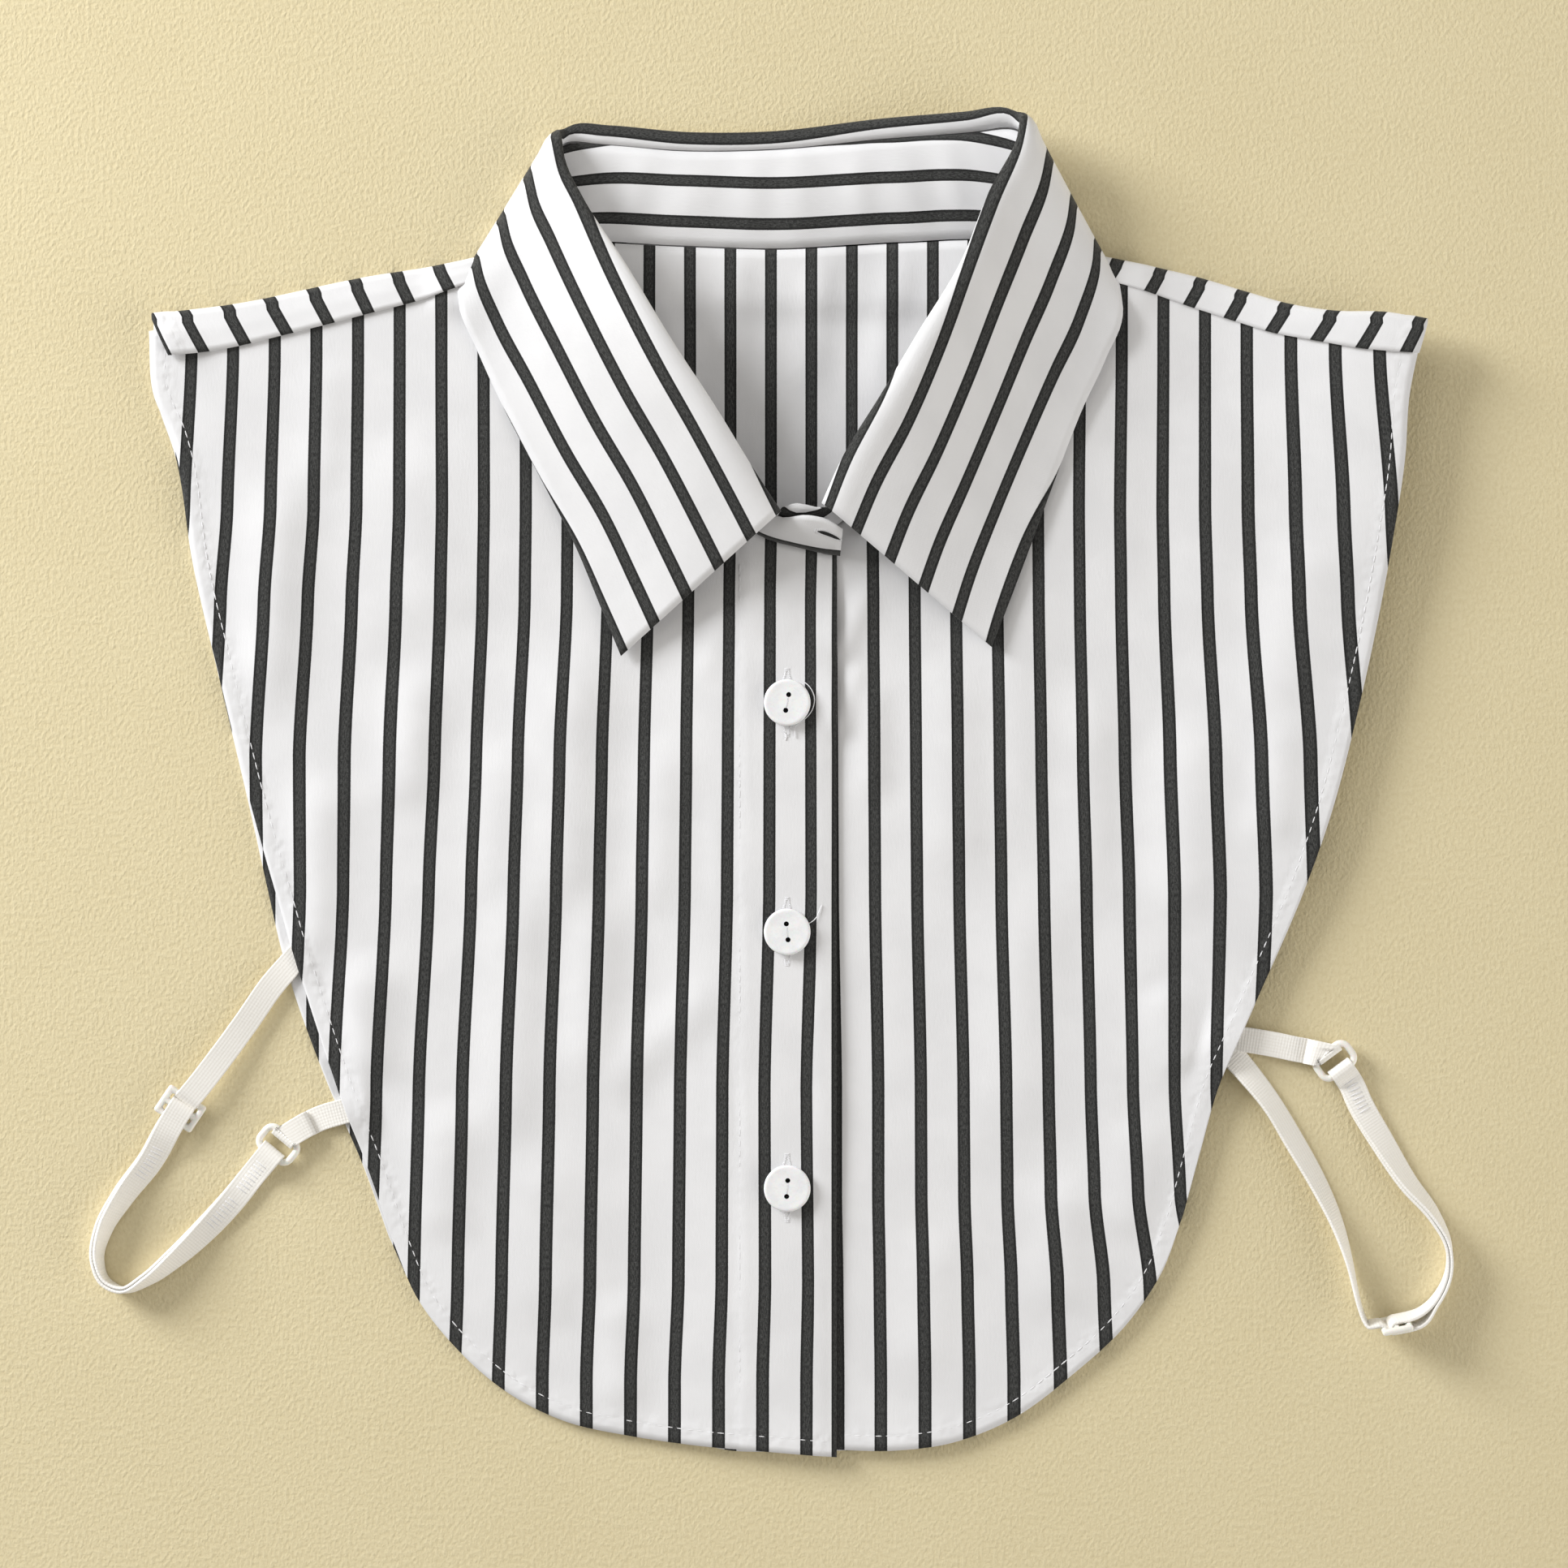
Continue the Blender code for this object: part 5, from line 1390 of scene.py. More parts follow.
def stand_cloth():
    """Make the neck band with its two front ends."""
    tab_ends, ends = [], []
    for marks, height, made in ((TAB_END[::-1], placket_height, tab_ends),
                                (UNDERTAB_END, front_height, ends)):
        for nx, ny, tx, ty, rise in marks:
            foot = laid(nx, ny, height)
            made.append(stand_section(foot, Vector((tx, ty, foot.z + rise))))
    band = with_arcs([stand_section(neck_foot(row), collar_section(row)[1])
                      for row in COLLAR])
    before, after = loft_knots(tab_ends + band[:1]), loft_knots(band[-1:] + ends)
    knots = ([knot - before[-1] for knot in before] + FALL_KNOTS[1:]
             + [FALL_KNOTS[-1] + knot for knot in after[1:]])
    places = loft_places(knots)
    rows = loft(tab_ends + band + ends, knots, places)
    for row, share in zip(rows, even(STAND_CELLS)):
        for point, place in zip(row, places):
            point.z += math.sin(math.pi * share) * dents(place - FALL_KNOTS[-1] / 2)
    phases = with_arcs(STAND_PHASES, lambda middle, end: (middle + end) / 2)
    phases = TAB_PHASES + phases + UNDERTAB_PHASES
    marks = [[] for _ in rows]
    for column, place in zip(zip(*rows), places):
        phase = read_line(knots, phases, place)
        for row_marks, length in zip(marks, knots_of(column)):
            number = phase + length / STAND_REPEAT
            if place < FALL_KNOTS[1]:
                number = min(TAB_TOP, number)
            row_marks.append((number, place, *PLAIN))
    builder = new_cloth()
    add_cloth(builder, rows, marks)
    return show_cloth("stand_cloth", builder, "collar_stand", even_offset=False), rows


STAND, STAND_ROWS = stand_cloth()

# %% [markdown]
# ## Stitches
#
# A machine stitch is a short piece of thread that dives into the cloth at both
# ends. A long thin ball does for one, with few faces, because there are
# hundreds. Each is placed from the cloth's own height, moved out by half the
# wall, along a line inside the hem and along the placket.

# %% Stitches
STITCH_LENGTH, STITCH_PITCH, STITCH_RADIUS, STITCH_SINK = 2.5, 2.9, 0.19, 0.65
PLACKET_STITCH_RADIUS, PLACKET_STITCH_ASIDE = 0.12, 0.2
PLACKET_STITCH_YS = (62.0, 20.0, -40.0, -100.0, -150.0, -185.0)
PLACKET_MARGIN = 1.0                 # mm of hem left unsewn beside the placket's edge


def add_stitch(builder, start, end, radius=STITCH_RADIUS):
    """Add one stitch from a start to an end, in millimetres."""
    run = end - start
    turn = run.to_track_quat("X", "Z").to_matrix().to_4x4()
    size = Matrix.Diagonal((run.length / 2 * MM, radius * MM, radius * MM, 1.0))
    matrix = Matrix.Translation((start + end) / 2 * MM) @ turn @ size
    bmesh.ops.create_uvsphere(builder, u_segments=6, v_segments=5, radius=1.0, matrix=matrix)


def stitch_line(name, line, height, radius=STITCH_RADIUS):
    """Sew along a line in plan, on cloth of a given height."""
    builder = bmesh.new()
    knots = knots_of(line)
    at = smooth_curve(line, knots)
    count = int(knots[-1] / STITCH_PITCH)
    for k in range(count):
        ends = (at(k * STITCH_PITCH + run) for run in (0.0, STITCH_LENGTH))
        ends = [laid(p.x, p.y, height, HALF_WALL - STITCH_SINK * radius) for p in ends]
        add_stitch(builder, *ends, radius)
    show(name, builder, THREAD)
    print(name, count, "stitches")


def inset_line(edge, distance, side):
    """Return a line at a distance inside an edge."""
    thinned = edge[::3] + [edge[-1]]
    return [point - rightward(thinned, i) * distance * side for i, point in enumerate(thinned)]


def sew_hems():
    """Sew the armholes and hems of both fronts, and the placket."""
    left = [p for p in EDGE_LEFT if p.x < PLACKET_RIGHT - PLACKET_MARGIN]
    right = [p for p in EDGE_RIGHT if p.x > PLACKET_RIGHT + PLACKET_MARGIN]
    stitch_line("hem_stitches_left", inset_line(left, HEM_WIDTH, 1), placket_height)
    stitch_line("hem_stitches_right", inset_line(right, HEM_WIDTH, -1), front_height)
    line = [Vector((PLACKET_LEFT + PLACKET_STITCH_ASIDE, y)) for y in PLACKET_STITCH_YS]
    stitch_line("placket_stitches", line, placket_height, PLACKET_STITCH_RADIUS)


sew_hems()

# %% [markdown]
# ## Buttons
#
# The buttons are plain discs with a softly raised rim and two holes. A half
# profile spun round makes the disc, and two pins are cut from it. Two thin
# strands of thread lie between the holes.

# %% Buttons
BUTTON_X, BUTTON_YS = 4.6, (22.8, -41.9, -114.3)
BUTTON_TURNS = (-11.0, 6.0, -4.0)        # degrees that each button is turned
BUTTON_SEAT, BUTTON_STEPS, SHARP_ANGLE = 0.95, 64, 38
HOLE_RADIUS, HOLE_OFFSET, HOLE_SIDES, PIN_LENGTH = 0.72, 2.25, 20, 8.0
STRAND_ASIDE, STRAND_HALF, STRAND_RADIUS = 0.12, 1.9, 0.08
BUTTON_PROFILE = [(0.0, 0.0), (5.4, 0.0), (6.1, 0.25), (6.5, 0.7), (6.6, 1.15), (6.54, 1.5),
                  (6.35, 1.75), (6.0, 1.87), (5.6, 1.87), (5.2, 1.84), (4.7, 1.81),
                  (4.2, 1.8), (2.5, 1.8), (0.0, 1.8)]


def button_pins(turn):
    """Make the two pins that cut a button's holes."""
    builder = bmesh.new()
    for direction in (-1, 1):
        made = bmesh.ops.create_cone(builder, cap_ends=True, segments=HOLE_SIDES,
                                     radius1=HOLE_RADIUS * MM, radius2=HOLE_RADIUS * MM,
                                     depth=PIN_LENGTH * MM)
        bmesh.ops.translate(builder, verts=made["verts"],
                            vec=(0, direction * HOLE_OFFSET * MM, 0))
    bmesh.ops.transform(builder, matrix=turn, verts=builder.verts)
    return bpy.data.objects.new("pins", mesh_of("pins", builder))


def button_disc(number, y, degrees):
    """Spin a button, cut its holes and sew it on."""
    turn = (Matrix.Translation(laid(BUTTON_X, y, placket_height, BUTTON_SEAT) * MM)
            @ Matrix.Rotation(math.radians(degrees), 4, "Z"))
    builder = bmesh.new()
    points = [builder.verts.new((r * MM, 0, z * MM)) for r, z in BUTTON_PROFILE]
    edges = [builder.edges.new(pair) for pair in zip(points, points[1:])]
    bmesh.ops.spin(builder, geom=points + edges, axis=(0, 0, 1), cent=(0, 0, 0),
                   steps=BUTTON_STEPS, angle=math.tau, use_merge=True)
    bmesh.ops.remove_doubles(builder, verts=builder.verts, dist=0.01 * MM)
    bmesh.ops.recalc_face_normals(builder, faces=builder.faces)
    bmesh.ops.transform(builder, matrix=turn, verts=builder.verts)
    cut_holes(show(f"button_disc_{number}", builder, BUTTON, f"button_{number}"), turn)
    sew_button(number, turn)


def cut_holes(disc, turn):
    """Cut the sewing holes and keep the result in the mesh."""
    pins = button_pins(turn)
    bpy.context.collection.objects.link(pins)
    cut = disc.modifiers.new("holes", "BOOLEAN")
    cut.operation, cut.object = "DIFFERENCE", pins
    graph = bpy.context.evaluated_depsgraph_get()
    mesh = bpy.data.meshes.new_from_object(disc.evaluated_get(graph))
    disc.modifiers.clear()
    disc.data = mesh
    bpy.data.objects.remove(pins, do_unlink=True)
    mesh.set_sharp_from_angle(angle=math.radians(SHARP_ANGLE))


def sew_button(number, turn):
    """Add the strands between the holes of a button."""
    builder = bmesh.new()
    top = BUTTON_PROFILE[-1][1]
    for aside in (-STRAND_ASIDE, STRAND_ASIDE):
        add_stitch(builder, Vector((aside, -STRAND_HALF, top)),
                   Vector((aside, STRAND_HALF, top)), STRAND_RADIUS)
    bmesh.ops.transform(builder, matrix=turn, verts=builder.verts)
    show(f"button_thread_{number}", builder, THREAD)


for number, (y, degrees) in enumerate(zip(BUTTON_YS, BUTTON_TURNS), start=1):
    button_disc(number, y, degrees)
print("three buttons sewn on")

# %% [markdown]
# ## Buttonholes
#
# A buttonhole is a slit with a dense zigzag of thread at each side and a bar
# at each end. Here each zig is one stitch laid across, which is how the
# machine does it. Most of each one is under its button, and its two ends show.
# Its gap is a near-black sheet of painted shade, not an opening.

# %% Buttonholes
# half length, how far it gapes, and the share of its length that shows open
PLACKET_HOLE, TAB_HOLE = (8.9, 0.8, 0.68), (3.6, 0.42, 0.97)
HOLE_SIDE, ZIGZAG_PITCH, ZIGZAG_LEAN, ZIGZAG_RADIUS = 0.8, 0.42, 0.1, 0.14
BAR_STITCHES, BAR_PITCH, BAR_HALF = 3, 0.3, 0.9
SLIT_CELLS, SLIT_NARROW, SLIT_OPEN, SLIT_MARGIN = 16, 0.12, 0.9, 0.05
ZIGZAG_RISE, BAR_RISE, SLIT_RISE = 0.06, 0.04, 0.03     # mm above the cloth
TAB_HOLE_AT, TAB_HOLE_LEVEL, TAB_HEIGHT = 3.9, 0.68, 12.5
TAB_COLUMNS, TAB_STEEP, LOOK_AHEAD = 14, 3, 0.5


def slit_half(along, half_length, gape):
    """Return half the width of a slit, which gapes most in its middle."""
    return SLIT_NARROW + gape * max(0.0, 1 - (along / (SLIT_OPEN * half_length)) ** 4)


def buttonhole(name, place_at, half_length, gape, reach):
    """Sew a buttonhole. place_at turns (along, across, up) into a place."""
    builder = bmesh.new()
    for k in range(int(2 * half_length / ZIGZAG_PITCH) + 1):
        along = -half_length + k * ZIGZAG_PITCH
        half = slit_half(along, half_length, gape)
        for side in (-1, 1):
            outer = place_at(along + ZIGZAG_LEAN, side * (half + HOLE_SIDE), 0.0)
            add_stitch(builder, place_at(along, side * half, ZIGZAG_RISE), outer, ZIGZAG_RADIUS)
    for end in (-1, 1):
        for k in range(BAR_STITCHES):
            along = end * (half_length + ZIGZAG_LEAN + BAR_PITCH * k)
            add_stitch(builder, *(place_at(along, across, BAR_RISE)
                                  for across in (-BAR_HALF, BAR_HALF)), ZIGZAG_RADIUS)
    show(name, builder, THREAD)
    slit(name + "_slit", place_at, half_length, gape, reach)


def slit(name, place_at, half_length, gape, reach):
    """Lay a near-black sheet of painted shade in the gap between a buttonhole's sides."""
    builder = bmesh.new()
    made = bmesh.ops.create_grid(builder, x_segments=SLIT_CELLS, y_segments=2, size=1.0)
    for vertex in made["verts"]:
        along = vertex.co.x * half_length * reach
        across = vertex.co.y * (slit_half(along, half_length, gape) + SLIT_MARGIN)
        vertex.co = place_at(along, across, SLIT_RISE) * MM
    show(name, builder, SLIT_SHADE)


def placket_buttonholes():
    """Sew the three buttonholes of the placket."""
    for number, y in enumerate(BUTTON_YS, start=1):
        def place_at(along, across, up, y=y):
            return laid(BUTTON_X + across, y + along, placket_height, HALF_WALL + up)
        buttonhole(f"buttonhole_{number}", place_at, *PLACKET_HOLE)
    print("buttonholes", len(BUTTON_YS))


def tab_place(run, share, up):
    """Return a place on the tab, from its end, by a share of its height."""
    level = min(int(share * STAND_CELLS), STAND_CELLS - 1)
    between = share * STAND_CELLS - level
    lower, upper = STAND_ROWS[level][:TAB_COLUMNS], STAND_ROWS[level + 1][:TAB_COLUMNS]
    line = [low.lerp(high, between) for low, high in zip(lower, upper)]
    at = smooth_curve(line, knots_of(line))
    here, ahead = at(max(0.0, run)), at(max(0.0, run + LOOK_AHEAD))
    steep = upper[TAB_STEEP] - lower[TAB_STEEP]
    normal = (ahead - here).cross(steep).normalized()
    if normal.z < 0:
        normal = -normal
    return here + normal * (WALL / 2 + up)


def tab_buttonhole():
    """Sew the buttonhole of the tab, near its end."""
    def place_at(along, across, up):
        return tab_place(TAB_HOLE_AT + along, TAB_HOLE_LEVEL + across / TAB_HEIGHT, up)
    buttonhole("buttonhole_tab", place_at, *TAB_HOLE)


placket_buttonholes()
tab_buttonhole()

# %% [markdown]
# ## Loose threads
#
# A hand-sewn button leaves a tail or two. Each is a thin curve with a bevel.


# %% Loose threads
TAIL_RADIUS, TAIL_CELLS = 0.13, 24
# x, y and height above the placket, along each tail
TAILS = [[(9.2, 28.8, 0.6), (10.8, 27.4, 0.9), (12.2, 24.6, 0.7), (11.6, 20.6, 0.5),
          (9.2, 17.8, 0.6), (7.0, 16.2, 0.5), (6.9, 12.9, 0.3)],
         [(10.2, -39.9, 0.5), (12.4, -38.4, 0.6), (13.6, -36.4, 0.3), (14.4, -34.4, 0.2)],
         [(3.2, 14.8, 0.2), (4.4, 13.6, 0.2), (4.1, 12.2, 0.15)]]


def bent_wire(name, points, radius, roundness, closed=False):
    """Return a round wire along a row of points, as a curve with a bevel."""
    data = bpy.data.curves.new(name, "CURVE")
    data.dimensions = "3D"
    data.bevel_depth, data.bevel_resolution = radius * MM, roundness
    line = data.splines.new("POLY")
    line.points.add(len(points) - 1)
    for target, point in zip(line.points, points):
        target.co = (*(point * MM), 1.0)
    line.use_cyclic_u, line.use_smooth = closed, True
    return data


for number, route in enumerate(TAILS, start=1):
    name = f"thread_tail_{number}"
    route = [laid(x, y, placket_height, HALF_WALL + up) for x, y, up in route]
    tail = bent_wire(name, smooth_row(route, even(TAIL_CELLS)), TAIL_RADIUS, 2)
    add_piece(name, tail, THREAD)
print("three loose threads")

# %% [markdown]
# ## Elastic straps
#
# Each strap leaves the armhole, runs through its slider, goes round the ring
# and comes back to the slider, so most of it is double. It stands on edge
# where it curls. The elastic is swept along its middle line, with ribs along
# its length made by making it thicker and thinner across.

# %% Elastic, in millimetres
STRAP_WIDTH, STRAP_THICK = 7.1, 0.9
SLIDER_SPREAD, LAID_SPREAD, BAR_TURN = 1.5, 0.52, 1.7
RING_HALF_BAR, RING_HALF_LENGTH, RING_CORNER, RING_WIRE = 5.3, 3.4, 2.3, 1.0
SLIDER_HALF_BAR, SLIDER_HALF_LENGTH, SLIDER_RIM, SLIDER_THICK = 6.2, 4.4, 1.8, 1.8
SLIDER_ROUND, RING_CELLS = 0.75, 8
STRAP_STEP, STRAP_CLEAR, RIBS = 1.3, 0.08, 8
BARTACKS = {"left": [(-176.0, -107.5), (-154.5, -120.5), (-146.5, -110.5)],
            "right": [(165.5, -88.0)]}
BARTACK_HALF = 2.2
BARTACK_REACH, BARTACK_RADIUS = 4, 0.2       # steps to each side, and mm
THREADED, THREADED_RUN = 3.0, 2.0  # steps before the slider where the strap dips below it
TURN_ANGLES, TUCK_ANGLES = range(0, 181, 18), (30, 60, 90, 120)      # degrees round a bar
# share of thickness in the grooves, at the foot of a rib and at its crest, and picks per mm
RIB_LOW, RIB_FOOT, RIB_CREST, PICKS = 0.45, 0.8, 1.0, 1.2
# x, y, twist, lift, spread
STRAP_LEFT = [(-130.5, -44.5, 0, 1.1, 0.0), (-135.0, -50.0, 0, 1.3, 0.0),
              (-141.0, -57.0, -8, 1.6, 0.0), (-148.2, -67.4, -12, 1.8, 0.0),
              (-154.8, -76.4, -10, 1.6, 0.6), (-161.6, -85.2, -8, 0.8, SLIDER_SPREAD),
              (-166.6, -91.4, -8, 0.4, SLIDER_SPREAD),
              (-170.2, -97.2, -9, 0.2, SLIDER_SPREAD),
              (-175.2, -106.2, -24, 0.0, LAID_SPREAD),
              (-183.2, -116.8, -45, 0.0, LAID_SPREAD),
              (-188.6, -126.0, -64, 0.0, LAID_SPREAD),
              (-190.4, -134.6, -80, 0.0, LAID_SPREAD),
              (-188.2, -140.8, -88, 0.0, LAID_SPREAD),
              (-183.4, -143.2, -95, 0.0, LAID_SPREAD),
              (-176.4, -140.2, -110, 0.0, LAID_SPREAD),
              (-168.6, -134.2, -128, 0.0, LAID_SPREAD),
              (-160.0, -126.2, -148, 0.0, LAID_SPREAD),
              (-152.2, -117.8, -166, 0.0, LAID_SPREAD),
              (-146.6, -110.8, -178, 0.0, LAID_SPREAD), (-141.6, -104.8, -180, 0.0, BAR_TURN)]
STRAP_RIGHT = [(127.8, -74.0, -5, 1.2, 0.0), (134.2, -81.2, -24, 1.0, 0.0),
               (141.0, -89.8, -38, 0.6, 0.0), (148.2, -101.6, -38, 0.3, 0.0),
               (154.9, -113.4, -46, 0.0, 0.0), (160.2, -125.0, -60, 0.0, 0.0),
               (163.8, -137.0, -74, 0.6, 0.0), (165.8, -147.6, -79, 1.8, 0.3),
               (168.2, -154.0, -80, 2.3, SLIDER_SPREAD),
               (170.2, -153.8, -80, 2.3, SLIDER_SPREAD),
               (175.4, -152.7, -80, 2.3, SLIDER_SPREAD),
               (180.6, -151.6, -80, 2.3, SLIDER_SPREAD),
               (182.0, -151.2, -81, 2.0, SLIDER_SPREAD),
               (187.6, -146.2, -88, 0.6, LAID_SPREAD), (191.4, -138.8, -95, 0.0, LAID_SPREAD),
               (191.4, -130.6, -100, 0.0, LAID_SPREAD),
               (187.3, -122.0, -112, 0.0, LAID_SPREAD),
               (180.0, -112.8, -130, 0.0, LAID_SPREAD),
               (172.6, -101.0, -150, 0.0, LAID_SPREAD),
               (166.6, -90.6, -168, 0.3, LAID_SPREAD), (164.0, -84.8, -178, 0.6, LAID_SPREAD),
               (161.4, -81.2, -180, 0.8, BAR_TURN)]
TAB_LEFT = [(-115.5, -91.4), (-121.5, -93.0), (-127.0, -94.6), (-131.4, -96.6)]
TAB_RIGHT = [(126.5, -71.6), (136.0, -72.8), (143.8, -74.2), (149.6, -75.4)]
SLIDER_LEFT, SLIDER_RIGHT = (-167.6, -91.0), (175.4, -152.7)
TAB_LEFT_RISE, TAB_RIGHT_RISE, TAB_LAP = 1.1, 0.8, 8.5
# mm before the bar where the two layers part, are fully parted, and turn towards it
TAB_CELLS, TAB_SPREADING, TAB_SPREAD_END, TAB_TURNING, TAB_STRAIGHT = 14, 9.0, 3.0, 6.0, 0.1


def strap_frames(route):
    """Return frames along a strap: place, direction, across, face, spread."""
    plan = [Vector(row[:2]) for row in route]
    twists = [Vector((row[2], 0)) for row in route]
    knots = knots_of(plan)
    at, twist_at = smooth_curve(plan, knots), smooth_curve(twists, knots)
    frames = []
    for share in even(round(knots[-1] / STRAP_STEP)):
        place = share * knots[-1]
        span = max(i for i in range(len(knots) - 1) if i == 0 or knots[i] <= place)
        blend = smoothstep((place - knots[span]) / (knots[span + 1] - knots[span]))
        rise, spread = (route[span][k] + (route[span + 1][k] - route[span][k]) * blend
                        for k in (3, 4))
        before, after = at(max(0.0, place - LOOK_AHEAD)), at(min(knots[-1], place + LOOK_AHEAD))
        along = (after - before).normalized().to_3d()
        angle = math.radians(twist_at(place).x)
        level = Vector((-along.y, along.x, 0))
        across = level * math.cos(angle) + Vector((0, 0, 1)) * math.sin(angle)
        z = (STRAP_WIDTH / 2 * abs(math.sin(angle))
             + (spread + STRAP_THICK / 2) * abs(math.cos(angle)) + rise + STRAP_CLEAR)
        frames.append((Vector((*at(place), z)), along, across, along.cross(across), spread))
    return frames


def nearest_frame(frames, spot):
    """Return the number of the frame that lies nearest to a spot in plan."""
    return min(range(len(frames)), key=lambda i: (frames[i][0].xy - Vector(spot)).length)


def elastic(name, node, line):
    """Sweep ribbed elastic along a line of places with their width directions."""
    half, cells = STRAP_WIDTH / 2, 3 * RIBS
    rows, marks, length = [], [], 0.0
    for k, (place, across) in enumerate(line):
        length += (place - line[k - 1][0]).length if k else 0.0
        rows.append([place + across * half * (2 * s - 1) for s in even(cells)])
        marks.append([(s * RIBS, length * PICKS * REPEAT, FAR, FAR,
                       RIB_FOOT + (RIB_CREST - RIB_FOOT) * abs(math.sin(math.pi * RIBS * s)))
                      for s in even(cells)])
    builder = new_cloth()
    add_cloth(builder, rows, marks)
    add_wall(show(name, builder, ELASTIC, node), STRAP_THICK, RIB_LOW)
    print(name, round(length), "mm long")


def bartacks(side, frames):
    """Sew ladders of short stitches through both layers of a strap."""
    builder = bmesh.new()
    for spot in BARTACKS[side]:
        middle = nearest_frame(frames, spot)
        ladder = frames[middle - BARTACK_REACH:middle + BARTACK_REACH]
        for place, _, across, face, spread in ladder:
            up = face if face.z > 0 else -face
            centre = place + up * (spread + STRAP_THICK / 2)
            add_stitch(builder, centre - across * BARTACK_HALF, centre + across * BARTACK_HALF,
                       BARTACK_RADIUS)
    show(f"bartacks_{side}", builder, THREAD)
    print("bartacks", side, len(BARTACKS[side]))


def bar_turn(centre, along, across, face):
    """Return the half turn of elastic round a bar, from the face side back."""
    return [(centre + face * (BAR_TURN * math.cos(angle))
             + along * (BAR_TURN * math.sin(angle)), across)
            for angle in map(math.radians, TURN_ANGLES)]


# %% [markdown]
# ## Rings, sliders and straps together
#
# The ring is a round wire bent to a rounded rectangle: a curve with a bevel
# gives it in one step. The slider is a flat plate with two windows, cut from a
# small grid, thickened and rounded. Both are placed from the frame of the
# strap that runs through them, so they can't drift away from it.


# %% Rings and sliders
def strap(side, route, slider_place):
    """Make the elastic from the armhole round the ring and back."""
    frames = strap_frames(route)
    nearest = nearest_frame(frames, slider_place)
    out = []
    for i, (place, _, across, face, spread) in enumerate(frames):
        below = smoothstep((i - nearest + THREADED) / THREADED_RUN)
        out.append((place + face * spread * (1 - 2 * below), across))
    back = [(place + face * spread, across)
            for place, _, across, face, spread in frames[-2:nearest - 1:-1]]
    place, along, across, face, spread = frames[nearest]
    back += [(place + face * spread * math.cos(angle) - along * spread * math.sin(angle), across)
             for angle in map(math.radians, TUCK_ANGLES)]
    place, along, across, face, spread = frames[-1]
    turn = bar_turn(place, along, across, -face)
    elastic(f"elastic_{side}", f"strap_{side}", out[:-1] + turn + back)
    bartacks(side, frames)
    slider(f"strap_slider_{side}", f"slider_{side}", *frames[nearest][:3])
    return place, along


def slider(name, node, place, along, across):
    """Make a flat slider: a rounded plate with a bar across its middle."""
    bars = [-SLIDER_HALF_BAR, -SLIDER_HALF_BAR + SLIDER_RIM,
            SLIDER_HALF_BAR - SLIDER_RIM, SLIDER_HALF_BAR]
    lengths = [-SLIDER_HALF_LENGTH, -SLIDER_HALF_LENGTH + SLIDER_RIM, -SLIDER_RIM / 2,
               SLIDER_RIM / 2, SLIDER_HALF_LENGTH - SLIDER_RIM, SLIDER_HALF_LENGTH]
    builder = bmesh.new()
    made = bmesh.ops.create_grid(builder, x_segments=3, y_segments=5, size=1.0)
    for vertex in made["verts"]:
        i, j = round((vertex.co.x + 1) / 2 * 3), round((vertex.co.y + 1) / 2 * 5)
        vertex.co = (place + across * bars[i] + along * lengths[j]) * MM
    windows = []
    for open_face in builder.faces:
        middle = open_face.calc_center_median() / MM - place
        aside, ahead = abs(middle @ across), abs(middle @ along)
        if aside < SLIDER_RIM and SLIDER_RIM / 2 < ahead < SLIDER_HALF_LENGTH - SLIDER_RIM:
            windows.append(open_face)
    bmesh.ops.delete(builder, geom=windows, context="FACES")
    piece = show(name, builder, PLASTIC, node)
    wall = piece.modifiers.new("plate", "SOLIDIFY")
    wall.thickness, wall.offset = SLIDER_THICK * MM, 0.0
    round_off = piece.modifiers.new("rounded", "BEVEL")
    round_off.width, round_off.segments = SLIDER_ROUND * MM, 4


def ring(name, node, centre, along, across):
    """Bend a ring of round wire with round corners."""
    points = []
    for quarter, (right, far) in enumerate(((1, 1), (-1, 1), (-1, -1), (1, -1))):
        middle = (centre + across * right * (RING_HALF_BAR - RING_CORNER)
                  + along * far * (RING_HALF_LENGTH - RING_CORNER))
        for share in even(RING_CELLS):
            angle = math.radians((quarter + share) * 90)
            points.append(middle + (across * math.cos(angle)
                                    + along * math.sin(angle)) * RING_CORNER)
    add_piece(name, bent_wire(name, points, RING_WIRE, 5, closed=True), PLASTIC, node)


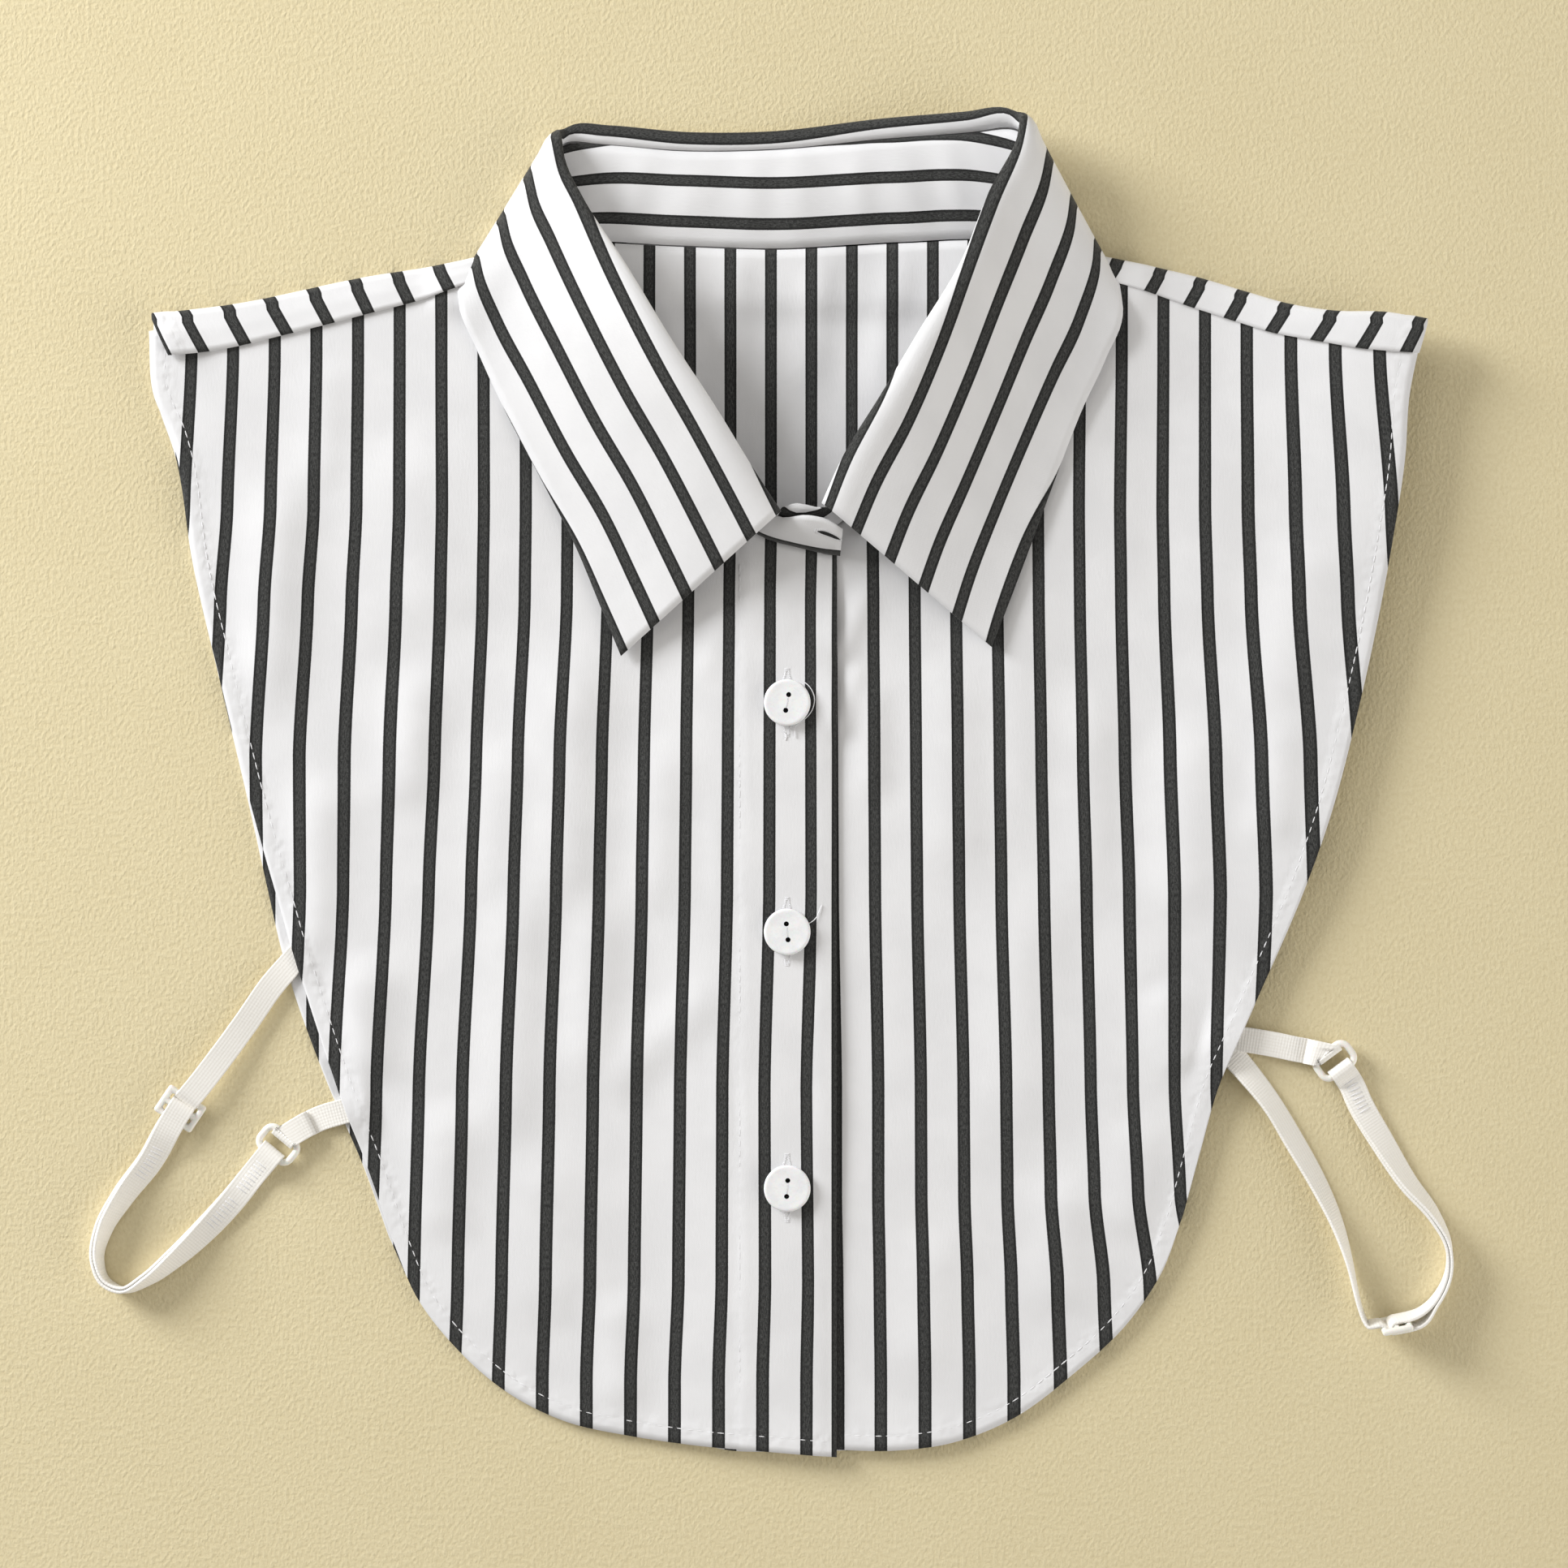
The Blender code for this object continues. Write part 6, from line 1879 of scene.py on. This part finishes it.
def ring_tab(side, route, bar, along, rise):
    """Make the short folded tab from the armhole edge round the ring."""
    plan = [Vector(point) for point in route] + [(bar - along * TAB_STRAIGHT).xy, bar.xy]
    knots = knots_of(plan)
    at = smooth_curve(plan, knots)
    lower, upper = [], []
    for share in even(TAB_CELLS):
        place = share * knots[-1]
        to_bar = place - knots[-1]
        here = at(place)
        ahead = here - at(max(0.0, place - LOOK_AHEAD)) if share > 0 else plan[1] - plan[0]
        turned = smoothstep((to_bar + TAB_TURNING) / TAB_TURNING)
        ahead = ahead.normalized().lerp(-along.xy, turned).normalized()
        across = Vector((-ahead.y, ahead.x, 0))
        near = smoothstep((to_bar + TAB_SPREADING) / (TAB_SPREADING - TAB_SPREAD_END))
        spread = LAID_SPREAD + (BAR_TURN - LAID_SPREAD) * near
        middle = Vector((here.x, here.y, bar.z + (spread - BAR_TURN) + rise * (1 - near)))
        if to_bar > -TAB_LAP:
            upper.append((middle + Vector((0, 0, spread)), across))
        lower.append((middle - Vector((0, 0, spread)), across))
    turn = bar_turn(bar, -along, across, Vector((0, 0, 1)))
    elastic(f"elastic_tab_{side}", f"strap_tab_{side}", upper[:-1] + turn + lower[-2::-1])


def side_strap(side, route, slider_place, tab_route, tab_rise):
    """Make one side's elastic, slider, ring and tab."""
    place, along = strap(side, route, slider_place)
    centre = place + along * RING_HALF_LENGTH
    ring(f"loop_ring_{side}", f"ring_{side}", centre, along, Vector((-along.y, along.x, 0)))
    ring_tab(side, tab_route, centre + along * RING_HALF_LENGTH, along, tab_rise)


side_strap("left", STRAP_LEFT, SLIDER_LEFT, TAB_LEFT, TAB_LEFT_RISE)
side_strap("right", STRAP_RIGHT, SLIDER_RIGHT, TAB_RIGHT, TAB_RIGHT_RISE)

# %% [markdown]
# ## What each sheet was cut to
#
# The five striped pieces are cloth, so the flat size that each was cut to
# is printed.


# %% Sheets and sizes
def flat_area(piece):
    """Return half the surface of a thin closed piece, in square metres."""
    graph = bpy.context.evaluated_depsgraph_get()
    mesh = piece.evaluated_get(graph).to_mesh()
    return sum(face.area for face in mesh.polygons) / 2


for piece in (BACK, FRONT_LEFT, FRONT_RIGHT, FALL, STAND):
    print(piece.name, "measures", round(flat_area(piece), 4), "m2")
